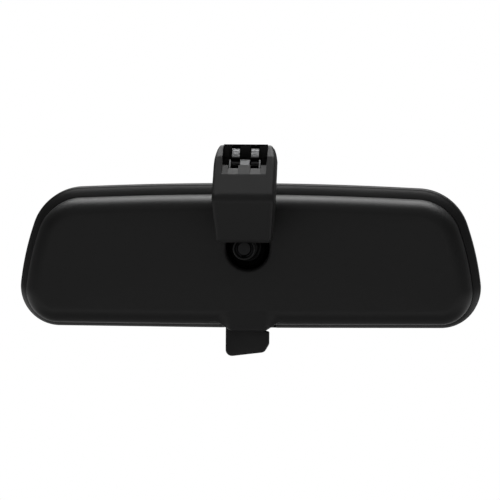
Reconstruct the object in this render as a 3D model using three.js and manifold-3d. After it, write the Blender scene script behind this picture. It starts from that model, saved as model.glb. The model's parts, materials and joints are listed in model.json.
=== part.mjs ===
// Interior rearview mirror with a clip-on arm, a ball joint and a day/night toggle.
// Millimetres, +Z up, +X across the car, +Y towards the driver, so the glass faces +Y and the
// windscreen side faces -Y. The parts are laid out round the centre of the ball. The finished
// group is then moved, so that its origin is the middle of the arm's windscreen face.
import * as THREE from 'three';
import { mergeVertices } from 'three/addons/utils/BufferGeometryUtils.js';
import Module from 'manifold-3d';

const wasm = await Module();
wasm.setup();

const degree = Math.PI / 180;
const gap = 0.3;

// ---- Driving dimensions ------------------------------------------------------------------

// Corners of the case, seen from the windscreen: x, z and corner radius of the right half.
const caseCorners = {
  top: [0, 34.4, 1800],
  shoulder: [109.5, 29.6, 28],
  flank: [120.6, -5, 150],
  foot: [125.3, -43.3, 21],
  bottom: [0, -44.1, 6000],
};
const panelY = -7;
const shellWall = 2;
const shellShoulder = { across: 8.4, deep: 9 };
const shellDrop = 1.4;
const shellEndY = 10;
const rimOverhang = 3.8;
const rimBackY = 5.5;
const rimFrontY = 19;
const rimEdge = 3;
const rimLip = 1.6;
const windowInset = 7.5;
const recessRadius = 11.5;

const glass = { inset: 4.2, frontY: 17, middle: 4.3, wedge: 3.2 * degree, middleZ: -5.5 };
const film = { inset: 7.8, thickness: 0.6 };
const foam = { x: 62, width: 10, height: 44, rootY: 7.8 };

const ball = { radius: 7, neck: 3.4, tilt: 3 * degree };
const stud = { shoulder: 5.4, shoulderAt: 17.8, shank: 3.9, grooveAt: 27.9, length: 30 };
const boss = { radius: 5.9, bore: 4.2, counterbore: 5, start: 18.1, floor: 27, end: 31.2 };
const liner = { inner: 7.25, outer: 8.6, mouth: 52 * degree };
const socket = { inner: 8.9, outer: 10.6, mouth: 56 * degree, splitY: 2.8 };
const clamp = { flange: 17, thickness: 1.8, screwCircle: 14, screws: 3 };

const hinge = { y: 1.5, z: 22, pin: 1.5, barrel: 2.8, halfLength: 29.6 };
const bracket = {
  halfWidth: 24, backY: 0.3, bottomZ: -14, tongue: 7, thickness: 2.5, barrelX: 20.8, barrelHalf: 3.2,
};
const pivot = { y: 1.5, z: -34.5, pin: 1.2, hub: 2.9, halfLength: 16.6 };
const hingeEar = { x: 27.2, half: 1.7, below: 3.2, above: 2.6, front: 3 };
const leverEar = { x: 15, half: 1.6, below: 2.4, above: 3, front: 3 };
const earReach = 3;
const rib = { x: 92, half: 1, bottomZ: -30, topZ: 18 };
const nose = { reach: 5.8, radius: 1.3, angle: 20 * degree, halfWidth: 5.5 };
const detent = { x: 9.8, z: -22.4, halfWidth: 2, thickness: 0.5, shank: 1 };
const tab = { left: -12.2, right: 11, thickness: 2.6, lean: 5 * degree };
const lobe = { halfWidth: 20, drop: 44.6, frontY: -6.6, backY: -2.4 };
const leverSlot = { halfWidth: 12.8, frontY: -1.6, rimDepth: 10.6 };

const arm = { halfWidth: 16.4, foot: 14.1, wall: 2.3, bevel: 2.2, cavity: 11.9 };
const slope = 50 * degree;
const noseBend = { y: -42, z: 29.3 };
const brow = { along: 27, ridgeAlong: 38, ridgeOutward: -2.34 };
const mouth = {
  lip: 15.3, halfWidth: 11.75, depth: 7, rampEnd: 22, rampDepth: 1.5, openEnd: 45, openHeight: 6,
};
const carrier = { halfWidth: 11.4, start: 22.3, end: 36.4, top: -2.3, thickness: 2.5 };
const carrierWindow = {
  near: 2.9, far: 7.2, upperStart: 28.2, upperEnd: 34.7, lowerFar: 8.7, lowerEnd: 26.6, middleHalf: 2.5,
  rail: 0.8,
};
const carrierPost = 1.9;
const clip = {
  thickness: 0.6, halfWidth: 7, tongue: 2.4, sheetStart: 26, sheetEnd: 35.4, tongueStart: 22.6,
  legStart: 23.6, legEnd: 26.6, legX: 8, legHalf: 0.3, footX: 7.6, footHalf: 0.7,
};
const legTop = carrier.top + 0.5;
const clipScrew = { x: 9.3, s: 28.5, head: 2.2, shank: 1 };
const windscreenFaceMiddle = 7.6;

// ---- Materials ---------------------------------------------------------------------------

function plastic(color, roughness) {
  return new THREE.MeshStandardMaterial({ color, roughness, metalness: 0 });
}

function metal(color, roughness) {
  return new THREE.MeshStandardMaterial({ color, roughness, metalness: 1 });
}

const grainedBlack = plastic(0x161616, 0.55);
const satinBlack = plastic(0x1c1c1c, 0.42);
const innerBlack = plastic(0x101010, 0.6);
const nylon = plastic(0x151515, 0.45);
const foamGrey = plastic(0x2b2b2d, 0.95);
const rubberBlack = plastic(0x0d0d0d, 0.85);
const springSteel = metal(0xb8bbbe, 0.28);
const zincSteel = metal(0x9da1a4, 0.4);
const blackSteel = metal(0x1d1e1f, 0.5);
const silvered = metal(0xcdd3d6, 0.03);

// ---- Solids: closed meshes in, closed meshes out -----------------------------------------

/** Turns a closed geometry into a solid with its faces outward. */
function solidFrom(geometry) {
  geometry.deleteAttribute('normal');
  geometry.deleteAttribute('uv');
  const merged = mergeVertices(geometry, 1e-4);
  const position = merged.getAttribute('position').array;
  const index = Array.from(merged.index.array);
  const triangles = [];
  let volume = 0;
  const corner = [new THREE.Vector3(), new THREE.Vector3(), new THREE.Vector3()];
  for (let i = 0; i < index.length; i += 3) {
    const [a, b, c] = index.slice(i, i + 3);
    if (a === b || b === c || c === a) continue;
    triangles.push([a, b, c]);
    [a, b, c].forEach((vertex, k) => corner[k].fromArray(position, 3 * vertex));
    volume += corner[0].dot(corner[1].cross(corner[2]));
  }
  const turned = volume < 0 ? triangles.map(([a, b, c]) => [a, c, b]) : triangles;
  return new wasm.Manifold(new wasm.Mesh({
    numProp: 3,
    vertProperties: Float32Array.from(position),
    triVerts: Uint32Array.from(turned.flat()),
  }));
}

function geometryOf(solid) {
  const mesh = solid.getMesh();
  const geometry = new THREE.BufferGeometry();
  geometry.setAttribute('position', new THREE.BufferAttribute(mesh.vertProperties, 3));
  geometry.setIndex(new THREE.BufferAttribute(mesh.triVerts, 1));
  return geometry;
}

function join(...solids) {
  return solids.reduce((whole, next) => whole.add(next));
}

function cut(solid, ...tools) {
  return tools.reduce((rest, tool) => rest.subtract(tool), solid);
}

/** A box between two corners. */
function box([x0, y0, z0], [x1, y1, z1]) {
  const geometry = new THREE.BoxGeometry(x1 - x0, y1 - y0, z1 - z0);
  geometry.translate((x0 + x1) / 2, (y0 + y1) / 2, (z0 + z1) / 2);
  return solidFrom(geometry);
}

/** A round bar along X between x0 and x1. */
function barX(radius, x0, x1, y, z, sides = 20) {
  const geometry = new THREE.CylinderGeometry(radius, radius, x1 - x0, sides);
  geometry.rotateZ(Math.PI / 2);
  geometry.translate((x0 + x1) / 2, y, z);
  return solidFrom(geometry);
}

/** A round bar along Y between y0 and y1. */
function barY(radius, y0, y1, x, z, sides = 20) {
  const geometry = new THREE.CylinderGeometry(radius, radius, y1 - y0, sides);
  geometry.translate(x, (y0 + y1) / 2, z);
  return solidFrom(geometry);
}

/** A round bar along Z between z0 and z1. */
function barZ(radius, z0, z1, x, y, sides = 20) {
  const geometry = new THREE.CylinderGeometry(radius, radius, z1 - z0, sides);
  geometry.rotateX(Math.PI / 2);
  geometry.translate(x, y, (z0 + z1) / 2);
  return solidFrom(geometry);
}

/** Revolves a profile of [radius, height] points round the local Y axis. */
function revolve(profile, sides = 24) {
  return solidFrom(new THREE.LatheGeometry(profile.map(([r, h]) => new THREE.Vector2(r, h)), sides));
}

/** Points of a circular arc about the origin, angles measured from the +Y pole of a lathe. */
function polarArc(radius, from, to, steps) {
  return Array.from({ length: steps + 1 }, (_, i) => {
    const angle = from + ((to - from) * i) / steps;
    return [Math.abs(radius * Math.sin(angle)), radius * Math.cos(angle)];
  });
}

/** Moves every edge of a closed outline inward by `inset`; corners are [x, y, radius]. */
function insetCorners(corners, inset) {
  const count = corners.length;
  const edge = (i) => {
    const [x0, y0] = corners[i % count];
    const [x1, y1] = corners[(i + 1) % count];
    return new THREE.Vector2(x1 - x0, y1 - y0).normalize();
  };
  return corners.map(([x, y, radius], i) => {
    const before = edge(i + count - 1);
    const after = edge(i);
    const turn = before.cross(after);
    const scale = inset / (1 + before.dot(after));
    const newRadius = radius === 0 ? 0 : Math.max(radius - Math.sign(turn) * inset, 0.4);
    return [x - (before.y + after.y) * scale, y + (before.x + after.x) * scale, newRadius];
  });
}

/** A closed, anticlockwise outline with its corners rounded, optionally drawn inset. */
function outlineOf(corners, inset = 0) {
  const points = insetCorners(corners, inset);
  const count = points.length;
  const shape = new THREE.Shape();
  points.forEach(([x, y, radius], i) => {
    const [px, py] = points[(i + count - 1) % count];
    const [nx, ny] = points[(i + 1) % count];
    const before = new THREE.Vector2(x - px, y - py).normalize();
    const after = new THREE.Vector2(nx - x, ny - y).normalize();
    const turn = Math.atan2(before.cross(after), before.dot(after));
    const reach = radius * Math.tan(Math.abs(turn) / 2);
    const startX = x - reach * before.x;
    const startY = y - reach * before.y;
    if (i === 0) shape.moveTo(startX, startY);
    else shape.lineTo(startX, startY);
    if (radius === 0) return;
    const side = Math.sign(turn);
    const centreX = startX - side * radius * before.y;
    const centreY = startY + side * radius * before.x;
    const startAngle = Math.atan2(startY - centreY, startX - centreX);
    shape.absarc(centreX, centreY, radius, startAngle, startAngle + turn, side < 0);
  });
  shape.closePath();
  return shape;
}

function extrude(outline, depth, options) {
  const { bevel = 0, bevelAcross = bevel, bevelSteps = 2, arcSteps = 3 } = options;
  return new THREE.ExtrudeGeometry(outline, {
    depth: depth - 2 * bevel,
    bevelEnabled: bevel > 0,
    bevelThickness: bevel,
    bevelSize: bevelAcross,
    bevelOffset: -bevelAcross,
    bevelSegments: bevelSteps,
    curveSegments: arcSteps,
  });
}

/** Extrudes an outline drawn in X and Z from y0 to y1. */
function extrudeY(outline, y0, y1, options = {}) {
  const geometry = extrude(outline, y1 - y0, options);
  geometry.rotateX(Math.PI / 2);
  geometry.translate(0, y1 - (options.bevel ?? 0), 0);
  if (options.place) geometry.applyMatrix4(options.place);
  return solidFrom(geometry);
}

/** Extrudes an outline drawn in Y and Z from x0 to x1. */
function extrudeX(outline, x0, x1, options = {}) {
  const geometry = extrude(outline, x1 - x0, options);
  const axes = [[0, 1, 0], [0, 0, 1], [1, 0, 0]].map((axis) => new THREE.Vector3(...axis));
  geometry.applyMatrix4(new THREE.Matrix4().makeBasis(...axes));
  geometry.translate(x0 + (options.bevel ?? 0), 0, 0);
  return solidFrom(geometry);
}

function part(name, solid, material) {
  const mesh = new THREE.Mesh(geometryOf(solid), material);
  mesh.name = name;
  return mesh;
}

// ---- Case: shell, bezel and glass --------------------------------------------------------

/** The case's outline in X and Z, drawn inset from the bezel's outer edge. */
function caseOutline(inset = 0) {
  const { top, shoulder, flank, foot, bottom } = caseCorners;
  const mirrored = ([x, z, radius]) => [-x, z, radius];
  const corners = [bottom, foot, flank, shoulder, top, ...[shoulder, flank, foot].map(mirrored)];
  return outlineOf(corners, inset);
}

/** The case's outline, drawn inset, extruded from y0 to y1. */
function extrudeCase(inset, y0, y1, options = {}) {
  return extrudeY(caseOutline(inset), y0, y1, { arcSteps: 6, ...options });
}

/** The half-space on the windscreen side of the glass's sloping back, moved by `offset` in Y. */
function behindGlass(offset) {
  const geometry = new THREE.BoxGeometry(300, 60, 160);
  geometry.translate(0, -30, 0);
  geometry.rotateX(glass.wedge);
  geometry.translate(0, glass.frontY - glass.middle + offset, glass.middleZ);
  return solidFrom(geometry);
}

/** The shell sits a little lower than the bezel. */
const shellPlace = new THREE.Matrix4().makeTranslation(0, 0, -shellDrop);

/** Rounded tongue of the shell that hides the lever's slot. */
function lobeOutline() {
  const { halfWidth, drop } = lobe;
  const top = -36.5;
  const shoulder = 0.58 * halfWidth;
  const shape = new THREE.Shape();
  shape.moveTo(-halfWidth, top);
  shape.lineTo(-halfWidth, -39.6);
  shape.quadraticCurveTo(-shoulder, -39.9, -shoulder, -42.2);
  shape.quadraticCurveTo(-0.4 * halfWidth, -drop, 0, -drop);
  shape.quadraticCurveTo(0.4 * halfWidth, -drop, shoulder, -42.2);
  shape.quadraticCurveTo(shoulder, -39.9, halfWidth, -39.6);
  shape.lineTo(halfWidth, top);
  shape.closePath();
  return shape;
}

function rearShell() {
  const { across, deep } = shellShoulder;
  const far = shellEndY + 2 * deep;
  const skin = extrudeCase(rimOverhang, panelY, far, {
    bevel: deep, bevelAcross: across, bevelSteps: 5, place: shellPlace,
  });
  const hollow = extrudeCase(rimOverhang + shellWall, panelY + shellWall, far + deep, {
    bevel: deep - shellWall, bevelAcross: across - shellWall, bevelSteps: 4, place: shellPlace,
  });
  const beyond = box([-140, shellEndY, -60], [140, far + 2 * deep, 60]);
  const inside = panelY + shellWall - 0.4;
  const pinEars = [-1, 1].map((side) => cut(
    box(
      [side * hingeEar.x - hingeEar.half, inside, hinge.z - hingeEar.below],
      [side * hingeEar.x + hingeEar.half, hinge.y + hingeEar.front, hinge.z + hingeEar.above],
    ),
    barX(hinge.pin + gap, side * hingeEar.x - earReach, side * hingeEar.x + earReach, hinge.y, hinge.z),
  ).intersect(skin));
  const leverEars = [-1, 1].map((side) => cut(
    box(
      [side * leverEar.x - leverEar.half, inside, pivot.z - leverEar.below],
      [side * leverEar.x + leverEar.half, pivot.y + leverEar.front, pivot.z + leverEar.above],
    ),
    barX(pivot.pin + gap, side * leverEar.x - earReach, side * leverEar.x + earReach, pivot.y, pivot.z),
  ));
  const ribs = [-rib.x, -foam.x, foam.x, rib.x].map((x) => box(
    [x - rib.half, inside, rib.bottomZ],
    [x + rib.half, foam.rootY - gap, rib.topZ],
  ));
  const slot = box(
    [-leverSlot.halfWidth, leverSlot.frontY, -50],
    [leverSlot.halfWidth, shellEndY + 5, -36.8],
  );
  const tongue = extrudeY(lobeOutline(), lobe.frontY, lobe.backY, { bevel: 0.9, arcSteps: 5 });
  const recess = barY(recessRadius, panelY - 3, panelY + shellWall + 1, 0, 0, 32);
  const screwPost = barY(2.6, panelY + 1, panelY + shellWall + 0.1, detent.x, detent.z, 16);
  const screwHole = barY(detent.shank + gap, panelY + 0.6, 0, detent.x, detent.z, 16);
  const open = join(cut(skin, hollow, beyond, slot, recess), screwPost);
  const whole = join(open, tongue, ...pinEars, ...leverEars, ...ribs);
  return part('rear_shell', cut(whole, screwHole), grainedBlack);
}

function bezel() {
  const options = { bevel: rimEdge, bevelSteps: 3 };
  const ring = cut(
    extrudeCase(0, rimBackY, rimFrontY, options),
    extrudeCase(rimOverhang - gap, rimBackY - 4, rimFrontY - rimLip, { place: shellPlace }),
    extrudeCase(rimOverhang - gap, shellEndY, rimFrontY - rimLip),
    extrudeCase(windowInset, rimBackY, rimFrontY + 4),
  );
  const notch = box([-13.4, rimBackY - 2, -50], [13.4, leverSlot.rimDepth, -38.5]);
  return part('bezel', cut(ring, notch), satinBlack);
}

function prismGlass() {
  const block = extrudeCase(glass.inset, glass.frontY - 9, glass.frontY);
  return part('prism_glass', cut(block, behindGlass(0)), silvered);
}

function backingFilm() {
  const block = extrudeCase(film.inset, glass.frontY - 12, glass.frontY + 2);
  const layer = block.intersect(behindGlass(-gap)).subtract(behindGlass(-gap - film.thickness));
  return part('backing_film', layer, innerBlack);
}

function foamStrips() {
  return [['left', -1], ['right', 1]].map(([name, side]) => {
    const middle = side * foam.x;
    const low = [middle - foam.width / 2, foam.rootY, glass.middleZ - foam.height / 2];
    const high = [middle + foam.width / 2, glass.frontY, glass.middleZ + foam.height / 2];
    const strip = box(low, high).intersect(behindGlass(-2 * gap - film.thickness));
    return part(`foam_strip_${name}`, strip, foamGrey);
  });
}

function stopBuffers() {
  return [['left', -19], ['right', 19]].map(([name, x]) => {
    const pad = barY(3.4, panelY + shellWall + gap, -3, x, -9, 16);
    return part(`stop_buffer_${name}`, pad, rubberBlack);
  });
}

function pins() {
  const dip = barX(hinge.pin, -hinge.halfLength, hinge.halfLength, hinge.y, hinge.z);
  const lever = barX(pivot.pin, -pivot.halfLength, pivot.halfLength, pivot.y, pivot.z);
  return [part('dip_hinge_pin', dip, zincSteel), part('lever_pin', lever, zincSteel)];
}

/** Leaf spring on the shell that presses on the lever's hub and holds its two positions. */
function detentSpring() {
  const { x, z, thickness, halfWidth, shank } = detent;
  const back = panelY + shellWall + gap;
  const front = [[back, z + 2.6], [back, -30.4], [-2.8, -33], [-2.3, -35.4]];
  const rear = front.map(([y, height]) => [y + thickness, height + 0.2]).reverse();
  const outline = outlineOf([...front, ...rear].map((point) => [...point, 0]));
  const leaf = cut(
    extrudeX(outline, x - halfWidth, x + halfWidth),
    barY(shank + gap, -8, 0, x, z, 16),
  );
  const head = back + thickness + gap;
  const screw = join(
    barY(shank, panelY + 0.9, head + 0.1, x, z, 16),
    barY(1.9, head, head + 1.1, x, z, 16),
  );
  return [part('detent_spring', leaf, springSteel), part('detent_screw', screw, zincSteel)];
}

// ---- Lever -------------------------------------------------------------------------------

/** Outline of the finger tab and its stem in X and Z. */
function tabOutline() {
  const { left, right } = tab;
  return outlineOf([
    [left, pivot.z - 1, 0],
    [left, -58.7, 3.4],
    [right - 2.6, -56.2, 3],
    [right, -51.8, 2],
    [right, -45.2, 0.7],
    [8.6, -44.4, 0.8],
    [8.2, pivot.z - 1, 0],
  ]);
}

function dipLever() {
  const place = new THREE.Matrix4().makeTranslation(0, pivot.y, pivot.z)
    .multiply(new THREE.Matrix4().makeRotationX(-tab.lean))
    .multiply(new THREE.Matrix4().makeTranslation(0, -pivot.y, -pivot.z));
  const half = tab.thickness / 2;
  const finger = extrudeY(tabOutline(), pivot.y - half, pivot.y + half, { bevel: 0.6, place });
  const hub = barX(pivot.hub, -12.2, 12.2, pivot.y, pivot.z, 24);
  const tip = [pivot.y + nose.reach * Math.sin(nose.angle), pivot.z + nose.reach * Math.cos(nose.angle)];
  const arms = [-nose.halfWidth, nose.halfWidth - 2].map((x) => extrudeX(
    outlineOf([
      [pivot.y - 1.6, pivot.z, 0],
      [pivot.y + 2.2, pivot.z - 0.8, 0],
      [tip[0] + 1.1, tip[1], 0],
      [tip[0] - 1.1, tip[1] + 0.4, 0],
    ]),
    x,
    x + 2,
  ));
  const bar = barX(nose.radius, -nose.halfWidth, nose.halfWidth, ...tip);
  const bore = barX(pivot.pin + gap, -20, 20, pivot.y, pivot.z);
  return part('dip_lever', cut(join(finger, hub, bar, ...arms), bore), satinBlack);
}

// ---- Toggle bracket and ball socket ------------------------------------------------------

/** Cone along -Y from the ball's centre, open by `halfAngle` each way. */
function mouthCone(halfAngle, sides = 24) {
  const length = 20;
  const geometry = new THREE.ConeGeometry(length * Math.tan(halfAngle), length, sides);
  geometry.translate(0, -length / 2, 0);
  return solidFrom(geometry);
}

function sphere(radius, sides = 22) {
  return revolve(polarArc(radius, 0, Math.PI, sides / 2), sides);
}

function clampScrewPlaces() {
  return Array.from({ length: clamp.screws }, (_, i) => {
    const angle = 90 * degree + (i * 2 * Math.PI) / clamp.screws;
    return [clamp.screwCircle * Math.cos(angle), clamp.screwCircle * Math.sin(angle)];
  });
}

function toggleBracket() {
  const { halfWidth, backY, bottomZ, tongue } = bracket;
  const frontY = backY + bracket.thickness;
  const top = hinge.z + 1.2;
  const corners = [
    [tongue, -31.2, 0.8], [tongue, bottomZ, 2], [halfWidth, bottomZ, 3], [halfWidth, top, 0.8],
  ];
  const mirrored = corners.map(([x, z, radius]) => [-x, z, radius]).reverse();
  const plate = extrudeY(outlineOf([...corners, ...mirrored]), backY, frontY);
  const cup = sphere(socket.outer).intersect(box([-12, -12, -12], [12, frontY, 12]));
  const barrels = [-1, 1].map((side) => barX(
    hinge.barrel,
    side * bracket.barrelX - bracket.barrelHalf,
    side * bracket.barrelX + bracket.barrelHalf,
    hinge.y,
    hinge.z,
  ));
  const posts = clampScrewPlaces().map(([x, z]) => barY(2.8, backY - 2.3, frontY, x, z, 16));
  const forkY = pivot.y + nose.reach * Math.sin(nose.angle);
  const slotHalf = nose.radius + gap;
  const fork = box([-tongue, forkY - slotHalf - 1.4, -31.2], [tongue, forkY + slotHalf + 1.4, -24.6]);
  const forkSlot = box([-tongue - 1, forkY - slotHalf, -33], [tongue + 1, forkY + slotHalf, -26.6]);
  const armGaps = [-1, 1].map((side) => box(
    [side * 4.5 - 1.7, forkY - slotHalf - 2, -33],
    [side * 4.5 + 1.7, forkY + slotHalf + 2, -27.6],
  ));
  const body = join(plate, cup, fork, ...barrels, ...posts);
  const screwHoles = clampScrewPlaces().map(([x, z]) => barY(1.55, backY - 1.5, frontY + 1, x, z, 16));
  const lightening = [-1, 1].map((side) => box([side * 19 - 2.5, -5, -9], [side * 19 + 2.5, 9, 14]));
  const pinBore = barX(hinge.pin + gap, -40, 40, hinge.y, hinge.z);
  return part('toggle_bracket', cut(
    body,
    sphere(socket.inner),
    mouthCone(socket.mouth),
    pinBore,
    forkSlot,
    ...armGaps,
    ...screwHoles,
    ...lightening,
  ), innerBlack);
}

function clampPlate() {
  const startY = socket.splitY + gap;
  const flange = barY(clamp.flange, startY, startY + clamp.thickness, 0, 0, 32);
  const dish = sphere(socket.outer).intersect(box([-12, startY, -12], [12, 12, 12]));
  const holes = clampScrewPlaces().map(([x, z]) => barY(1.55, 0, 9, x, z, 16));
  return part('clamp_plate', cut(join(flange, dish), sphere(socket.inner), ...holes), zincSteel);
}

function clampScrews() {
  const seatY = socket.splitY + clamp.thickness + 2 * gap;
  return clampScrewPlaces().map(([x, z], i) => {
    const cross = join(
      box([x - 1.4, seatY + 1.1, z - 0.3], [x + 1.4, seatY + 3, z + 0.3]),
      box([x - 0.3, seatY + 1.1, z - 1.4], [x + 0.3, seatY + 3, z + 1.4]),
    );
    const screw = join(barY(1.2, -0.8, seatY + 0.1, x, z, 16), barY(2.4, seatY, seatY + 1.9, x, z, 20));
    return part(`clamp_screw_${i + 1}`, cut(screw, cross), zincSteel);
  });
}

/** Nylon cup between the ball and its socket, open towards the arm. */
function socketLiner() {
  const steps = 10;
  const inner = polarArc(liner.inner, Math.PI, liner.mouth, steps);
  const outer = polarArc(liner.outer, liner.mouth, Math.PI, steps);
  const mesh = part('socket_liner', revolve([...inner, ...outer]), nylon);
  mesh.rotation.x = Math.PI;
  return mesh;
}

// ---- Ball stud, laid out along its own axis with the ball at the origin -------------------

function ballStud() {
  const { radius, neck } = ball;
  const neckAngle = Math.asin(neck / radius);
  const profile = [
    ...polarArc(radius, Math.PI, neckAngle, 11),
    [neck, 13.6],
    [stud.shoulder, 16],
    [stud.shoulder, stud.shoulderAt],
    [stud.shank, stud.shoulderAt],
    [stud.shank, stud.grooveAt],
    [3, stud.grooveAt],
    [3, stud.grooveAt + 1.3],
    [stud.shank, stud.grooveAt + 1.3],
    [stud.shank - 0.6, stud.length],
    [0, stud.length],
  ];
  return part('ball_stud', revolve(profile), blackSteel);
}

function ring(inner, outer, start, end) {
  return revolve([[inner, start], [outer, start], [outer, end], [inner, end], [inner, start]]);
}

function studWasher() {
  return part('stud_washer', ring(boss.bore, 4.75, boss.floor + gap, boss.floor + gap + 0.3), blackSteel);
}

function studCirclip() {
  const start = stud.grooveAt + gap;
  const open = box([-1.2, start - 1, 0], [1.2, start + 2, 6]);
  return part('stud_circlip', cut(ring(3.3, 4.6, start, start + 0.7), open), blackSteel);
}

// ---- Arm ---------------------------------------------------------------------------------

/** A point given along the windscreen slope and outward from it, as [y, z]. */
function onSlope(along, outward) {
  return [
    noseBend.y + along * Math.cos(slope) - outward * Math.sin(slope),
    noseBend.z + along * Math.sin(slope) + outward * Math.cos(slope),
  ];
}

/** Side outline of the arm in Y and Z. */
function armSide() {
  return outlineOf([
    [...onSlope(0, 0), 5],
    [-34, 5, 2.9],
    [-19, 4.2, 2.8],
    [-24, 24, 14],
    [-10.4, 46, 3],
    [...onSlope(brow.ridgeAlong, brow.ridgeOutward), 3],
    [...onSlope(brow.along, 0), 4],
  ]);
}

/** Front outline of the arm in X and Z: narrow foot, straight flanks and round top corners. */
function armFront() {
  const { halfWidth, foot } = arm;
  const shape = new THREE.Shape();
  shape.moveTo(-foot, 0);
  shape.lineTo(foot, 0);
  shape.lineTo(halfWidth, 26);
  shape.lineTo(halfWidth, 45);
  shape.quadraticCurveTo(halfWidth, 56, 11.6, 57.5);
  shape.lineTo(-11.6, 57.5);
  shape.quadraticCurveTo(-halfWidth, 56, -halfWidth, 45);
  shape.lineTo(-halfWidth, 26);
  shape.closePath();
  return shape;
}

/** Places a solid drawn in X, along the slope and outward from it. */
function slopeMesh(name, solid, material) {
  const mesh = part(name, solid, material);
  mesh.rotation.x = slope;
  mesh.position.set(0, noseBend.y, noseBend.z);
  return mesh;
}

function slopeTool(corners, halfWidth) {
  const outline = corners.map(([along, outward]) => [...onSlope(along, outward), 0]);
  return extrudeX(outlineOf(outline), -halfWidth, halfWidth);
}

function studBarrel(profileRadius, start, end, sides = 28) {
  const geometry = new THREE.CylinderGeometry(profileRadius, profileRadius, end - start, sides);
  geometry.translate(0, (start + end) / 2, 0);
  geometry.rotateX(Math.PI - ball.tilt);
  return solidFrom(geometry);
}

function clipScrewHole(side) {
  const geometry = new THREE.CylinderGeometry(clipScrew.shank + gap, clipScrew.shank + gap, 6, 16);
  geometry.rotateX(Math.PI / 2);
  geometry.translate(side * clipScrew.x, clipScrew.s, -mouth.depth - 1);
  geometry.rotateX(slope);
  geometry.translate(0, noseBend.y, noseBend.z);
  return solidFrom(geometry);
}

function armBody() {
  const { halfWidth, bevel, wall, cavity } = arm;
  const block = extrudeX(armSide(), -halfWidth, halfWidth, { bevel, bevelSteps: 3 })
    .intersect(extrudeY(armFront(), -60, 0, { arcSteps: 6 }));
  const { lip, depth, rampEnd, rampDepth, openEnd, openHeight } = mouth;
  const recess = slopeTool([
    [rampEnd, -rampDepth],
    [lip, 0],
    [lip, openHeight],
    [openEnd, openHeight],
    [openEnd, -depth],
    [rampEnd, -depth],
  ], mouth.halfWidth);
  const floor = -depth - 2;
  const chamber = extrudeX(outlineOf([
    [-39.2, 27.4, 0],
    [-31.6, 7.6, 0],
    [-10, 7.6, 0],
    [-10, 24, 0],
    [-5, 40, 0],
    [...onSlope(31, floor), 0],
    [...onSlope(12.5, floor), 0],
    [...onSlope(12.5, -wall), 0],
    [...onSlope(1.4, -wall), 0],
  ]), -cavity, cavity);
  const hole = [-1, 1].map(clipScrewHole);
  const barrel = studBarrel(boss.radius, boss.start, boss.end);
  return part('arm_body', cut(
    join(cut(block, recess, chamber), barrel),
    studBarrel(boss.bore, 0, boss.end + 0.1),
    studBarrel(boss.counterbore, boss.floor, boss.end + 0.1),
    ...hole,
  ), grainedBlack);
}

function armBackCover() {
  const outline = outlineOf([
    [-22.2, 7.9, 0],
    [-20.2, 7.9, 0],
    [-24, 24, 12],
    [-13.2, 42.4, 0],
    [-14.9, 43.4, 0],
    [-26.2, 24.4, 14],
  ]);
  return part('arm_back_cover', extrudeX(outline, gap - arm.cavity, arm.cavity - gap, { bevel: 0.3 }), satinBlack);
}

// ---- Windscreen clip, drawn in X, along the slope and outward from it ---------------------

function slab(x0, x1, s0, s1, n0, n1) {
  return box([x0, s0, n0], [x1, s1, n1]);
}

function clipCarrier() {
  const { halfWidth, start, end, top, thickness } = carrier;
  const base = top - thickness;
  const plate = slab(-halfWidth, halfWidth, start, end, base, top);
  const window = (x0, x1, s0, s1) => slab(x0, x1, s0, s1, base - 1, top + 1);
  const { near, far, upperStart, upperEnd, lowerFar, lowerEnd, middleHalf } = carrierWindow;
  const lowerStart = start + carrierWindow.rail;
  const upper = [window(near, far, upperStart, upperEnd), window(-far, -near, upperStart, upperEnd)];
  const lower = [
    window(near, lowerFar, lowerStart, lowerEnd),
    window(-lowerFar, -near, lowerStart, lowerEnd),
    window(-middleHalf, middleHalf, lowerStart, lowerEnd),
  ];
  const sides = [-clipScrew.x, clipScrew.x];
  const posts = sides.map((x) => barZ(carrierPost, gap - mouth.depth, base + 0.1, x, clipScrew.s, 16));
  const holes = sides.map((x) => barZ(clipScrew.shank + gap, -8, top - 0.8, x, clipScrew.s, 16));
  return slopeMesh('clip_carrier', cut(join(plate, ...posts), ...upper, ...lower, ...holes), innerBlack);
}

function springClip() {
  const top = carrier.top - carrier.thickness - gap;
  const base = top - clip.thickness;
  const { sheetStart, sheetEnd, tongueStart, legStart, legEnd, legX, legHalf, footX, footHalf } = clip;
  const plate = slab(-clip.halfWidth, clip.halfWidth, sheetStart, sheetEnd, base, top);
  const tongue = slab(-clip.tongue, clip.tongue, tongueStart, sheetStart + 0.1, base, top);
  const legs = [-1, 1].map((side) => join(
    slab(side * footX - footHalf, side * footX + footHalf, legStart, legEnd, base, top),
    slab(side * legX - legHalf, side * legX + legHalf, legStart, sheetStart + 0.2, base, legTop),
  ));
  return slopeMesh('spring_clip', join(plate, tongue, ...legs), springSteel);
}

function clipScrews() {
  const seat = -mouth.depth - 2 - gap;
  return [['left', -1], ['right', 1]].map(([name, side]) => {
    const x = side * clipScrew.x;
    const shank = barZ(clipScrew.shank, seat - 0.1, carrier.top - 1.1, x, clipScrew.s, 16);
    const head = barZ(clipScrew.head, seat - 1.6, seat, x, clipScrew.s, 20);
    return slopeMesh(`clip_screw_${name}`, join(shank, head), zincSteel);
  });
}

// ---- Assembly ----------------------------------------------------------------------------

const studGroup = new THREE.Group();
studGroup.rotation.x = Math.PI - ball.tilt;
studGroup.add(ballStud(), studWasher(), studCirclip());

const armGroup = new THREE.Group();
armGroup.add(armBody(), armBackCover(), clipCarrier(), springClip(), ...clipScrews());

const caseGroup = new THREE.Group();
caseGroup.add(rearShell(), bezel(), prismGlass(), backingFilm(), ...foamStrips(), ...stopBuffers());
caseGroup.add(...pins(), ...detentSpring(), dipLever());

const jointGroup = new THREE.Group();
jointGroup.add(toggleBracket(), clampPlate(), ...clampScrews(), socketLiner());

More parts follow.
